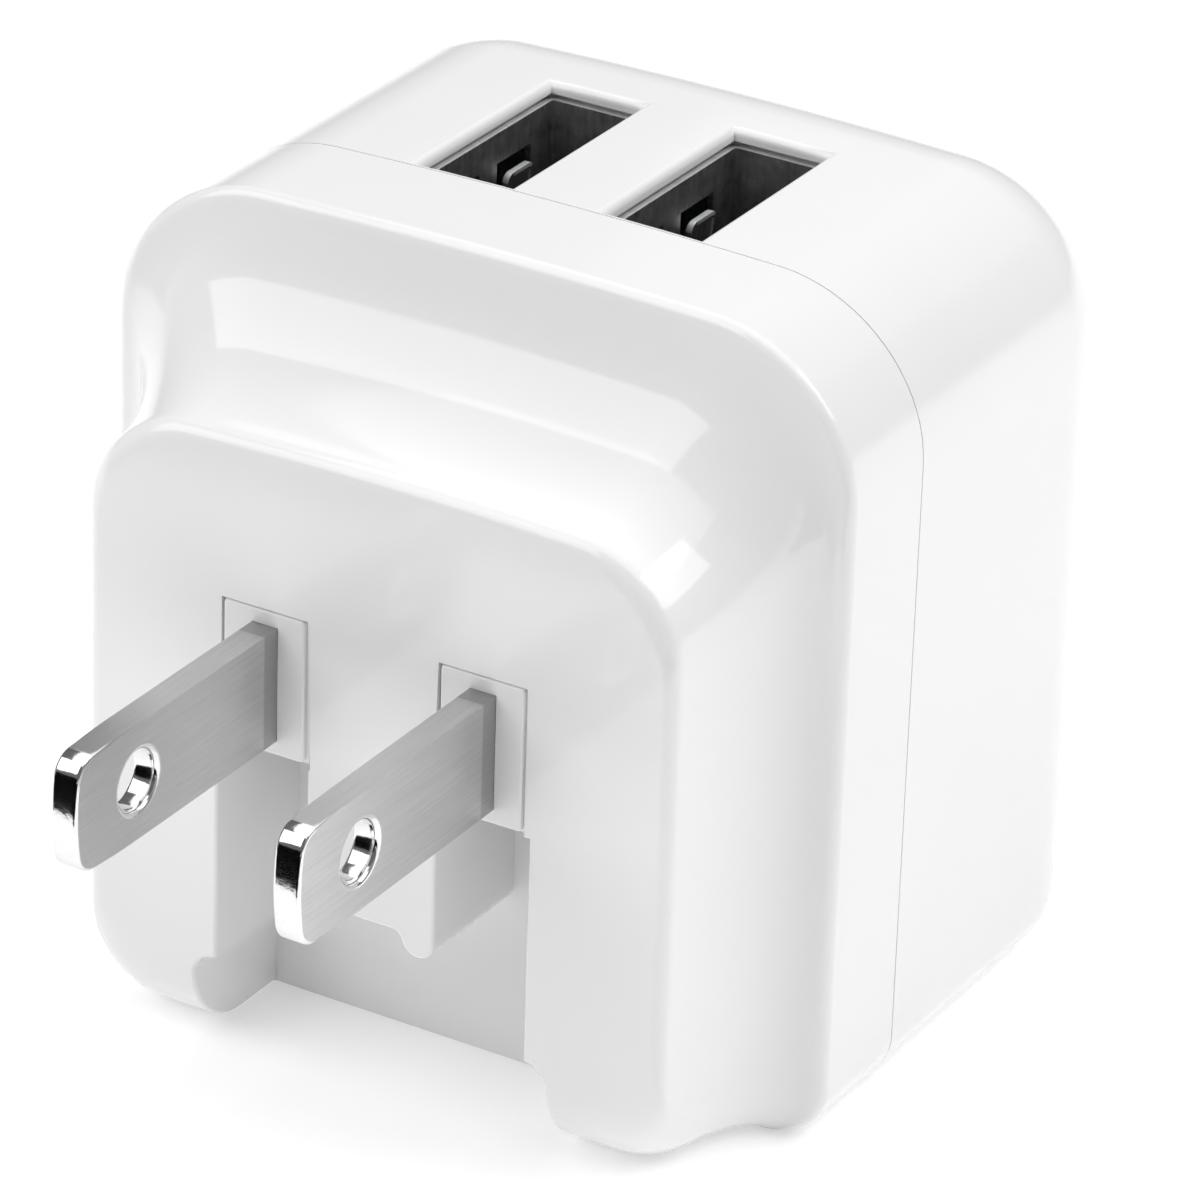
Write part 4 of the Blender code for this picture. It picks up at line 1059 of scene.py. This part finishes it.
for name, side in (("left", -1), ("right", 1)):
    x = side * port_x
    outer = rounded_rectangle((x, port_y), (shell_half_x, shell_half_y), FOLD_RADIUS)
    inner_half = (shell_half_x - METAL, shell_half_y - METAL)
    inner = rounded_rectangle((x, port_y), inner_half, FOLD_RADIUS - METAL)
    socket = slab("socket_" + name, outer, shell_low.z, shell_high.z, "Z")
    cut(socket, slab("socket_hollow", inner, shell_low.z + METAL, shell_high.z + OUTSIDE, "Z"))
    windows, springs = [], []
    half_slot = SPRING_HALF_WIDTH + SPRING_GAP
    for wall, end in ((-1, -1), (-1, 1), (1, -1), (1, 1)):
        wall_x = x + wall * (shell_half_x - METAL / 2)
        y = port_y + end * SPRING_OFFSET_Y
        corner = (wall_x - METAL, y - half_slot, SPRING_ROOT_Z)
        far_corner = (wall_x + METAL, y + half_slot, SPRING_SLOT_Z)
        windows.append(block("spring_window", corner, far_corner))
        springs.append(spring_strip(wall, wall_x, y))
    cut(socket, *windows)
    join(socket, *springs)
    finish_piece(socket, "body", ["usb_shell_" + name], tinned_steel)
    # Painted highlight: the inward faces of the spring rims near the top get the bright tin.
    socket.data.materials.append(painted_highlight_tin)
    for face in socket.data.polygons:
        inward = abs(face.center.x - x) < shell_half_x - MARGIN * METAL
        near_top = face.center.z > SPRING_TOP_Z - PAINTED_HIGHLIGHT_HEIGHT
        if inward and near_top and on_spring_rim(face.center):
            face.material_index = 1

# %% [markdown]
# ## Parts inside
#
# The boards and what stands on them keep their frame shapes, which are already
# right, and get real finishes. Each recipe below starts from what the part is
# made of, and its pattern is as large as on the real part.

# %% A recipe for finishes that vary between two tones


def two_tone(name, dark, light, grain, rough, metallic=0.0, stretch=(1, 1, 1), depth=0.0):
    """A finish between two colours. Grain is the size of its pattern, and depth its relief."""
    made, tree, shader, place = new_finish(name)
    sized = add(tree, "Mapping", inputs={"Vector": place, "Scale": [s / grain for s in stretch]})
    pattern = add(tree, "TexNoise", inputs={"Vector": sized.outputs["Vector"], "Scale": 1.0, "Detail": 3.0})
    tones = {"Factor": pattern.outputs["Fac"], "A": srgb(dark), "B": srgb(light)}
    tone = add(tree, "Mix", {"data_type": "RGBA"}, tones)
    limits = {"Value": pattern.outputs["Fac"], "To Min": rough * 0.8, "To Max": rough * 1.2}
    sheen = add(tree, "MapRange", inputs=limits)
    tree.links.new(tone.outputs["Result"], shader.inputs["Base Color"])
    tree.links.new(sheen.outputs["Result"], shader.inputs["Roughness"])
    shader.inputs["Metallic"].default_value = metallic
    if depth:
        relief = {"Height": pattern.outputs["Fac"], "Distance": depth, "Strength": 1.0}
        bump = add(tree, "Bump", inputs=relief)
        tree.links.new(bump.outputs["Normal"], shader.inputs["Normal"])
    return made


def dress(material, *names):
    """Gives a material to CAD nodes, in the slots that they already have."""
    for name in names:
        for slot in nodes[name].material_slots:
            slot.material = material
    print(material.name, "on", len(names))


# %% [markdown]
# Sheet metal and moulded parts: phosphor bronze is a warm metal with rolling
# lines. The socket tongue is a heat-proof polymer, nearly black and fairly dull.
# Insulation is a stiff paper whose fibres show, and the sleeves of the mains
# leads are soft PVC.

# %% Metal, polymer and paper finishes
bronze = two_tone("rolled_phosphor_bronze", "A9793F", "D2A468", 0.15 * MM, 0.3, 1.0, (1, 1, 0.05), 0.002 * MM)
heat_proof = two_tone("moulded_black_polymer", "161616", "232323", 0.2 * MM, 0.42, depth=0.003 * MM)
paper = two_tone("fibrous_insulation_paper", "D9D2BB", "EFEADB", 0.35 * MM, 0.7, 0.0, (1, 4, 1), 0.006 * MM)
black_pvc = two_tone("extruded_black_pvc", "141414", "222222", 0.5 * MM, 0.4, depth=0.002 * MM)
white_pvc = two_tone("extruded_white_pvc", "DADAD7", "E8E8E5", 0.5 * MM, 0.4, depth=0.002 * MM)

dress(bronze, "detent_spring", "contact_spring_left", "contact_spring_right")
dress(heat_proof, "usb_tongue_left", "usb_tongue_right")
dress(paper, "insulation_sheet")
dress(black_pvc, "mains_lead_left")
dress(white_pvc, "mains_lead_right")
dress(satin_plastic, "shaft_bracket")

# %% [markdown]
# The moulded and sintered parts on the boards: ferrite is a grey ceramic with
# a coarse grain, chip packages are black epoxy with a fine spark texture, and
# capacitor cans wear a shrunk plastic sleeve. The disc is dipped in blue
# lacquer, and the winding is wrapped in yellow polyester tape.

# %% Board part finishes
ferrite = two_tone("sintered_ferrite", "2B2B2E", "47474A", 0.3 * MM, 0.6, depth=0.01 * MM)
epoxy = two_tone("moulded_black_epoxy", "1A1A1B", "2A2A2B", 0.08 * MM, 0.5, depth=0.003 * MM)
phenolic = two_tone("moulded_black_phenolic", "1F1D1C", "2E2B29", 0.4 * MM, 0.4, depth=0.004 * MM)
tape = two_tone("yellow_polyester_tape", "D9A916", "F0C638", 0.9 * MM, 0.3, 0.0, (0.2, 0.2, 1), 0.01 * MM)
sleeve = two_tone("shrunk_capacitor_sleeve", "1B2436", "2A3650", 1.5 * MM, 0.3, 0.0, (1, 1, 0.3), 0.004 * MM)
blue_lacquer = two_tone("dipped_blue_lacquer", "1E4F9A", "2F6BBD", 1.2 * MM, 0.28, depth=0.02 * MM)
white_epoxy = two_tone("moulded_white_epoxy", "D6D3C8", "E6E3D9", 0.1 * MM, 0.5, depth=0.003 * MM)

dress(ferrite, "transformer_core", "filter_inductor")
dress(epoxy, "bridge_rectifier", "controller_chip", "charge_controller", "rectifier_diode")
dress(phenolic, "transformer_bobbin")
dress(tape, "transformer_winding")
dress(sleeve, "input_capacitor_a", "input_capacitor_b", "output_capacitor_left", "output_capacitor_right")
dress(blue_lacquer, "safety_capacitor")
dress(white_epoxy, "optocoupler")

# %% [markdown]
# ## Painted bands on the resistor
#
# The fuse resistor is a green lacquered rod with painted bands across it. The
# bands come from a wave pattern that runs along the rod.

# %% Banded resistor
banded, tree, shader, place = new_finish("green_lacquer_with_bands")
BAND_SPACING = 1.4 * MM
WAVE_LENGTH = 0.31  # the wave pattern repeats at this many of its own units
waves = add(
    tree,
    "TexWave",
    {"wave_type": "BANDS", "bands_direction": "Y"},
    {"Vector": place, "Scale": WAVE_LENGTH / BAND_SPACING, "Distortion": 0.0},
)
bands = add(tree, "ValToRGB", inputs={"Fac": waves.outputs["Fac"]})
bands.color_ramp.interpolation = "CONSTANT"
bands.color_ramp.elements[0].color = srgb("5E8F72")
bands.color_ramp.elements[1].position = 0.82
bands.color_ramp.elements[1].color = srgb("6B3A1E")
tree.links.new(bands.outputs["Color"], shader.inputs["Base Color"])
shader.inputs["Roughness"].default_value = 0.35
dress(banded, "fuse_resistor")

# %% [markdown]
# ## Circuit boards
#
# A board is glass cloth in resin under green solder mask. The mask is glossy,
# and the weave of the cloth shows through it as a faint grid. Copper traces
# under the mask look lighter, which a blocky pattern imitates well enough on a
# part that sits in the dark.

# %% Green solder mask
mask, tree, shader, place = new_finish("green_solder_mask_on_glass_cloth")
WEAVE = 0.5 * MM
WEAVE_DEPTH = 0.002 * MM
TRACE = 1.6 * MM
TRACE_GAP = 0.25 * MM
weave = add(tree, "TexChecker", inputs={"Vector": place, "Scale": 1 / WEAVE})
trace = add(
    tree,
    "TexBrick",
    inputs={
        "Vector": place,
        "Color1": srgb("1F7A45"),
        "Color2": srgb("155C33"),
        "Mortar": srgb("0E4526"),
        "Scale": 1.0,
        "Mortar Size": TRACE_GAP,
        "Brick Width": 4 * TRACE,
        "Row Height": TRACE,
    },
)
relief = {"Height": weave.outputs["Fac"], "Distance": WEAVE_DEPTH, "Strength": 1.0}
bump = add(tree, "Bump", inputs=relief)
tree.links.new(trace.outputs["Color"], shader.inputs["Base Color"])
tree.links.new(bump.outputs["Normal"], shader.inputs["Normal"])
shader.inputs["Roughness"].default_value = 0.3
dress(mask, "main_board", "port_board", "link_board")
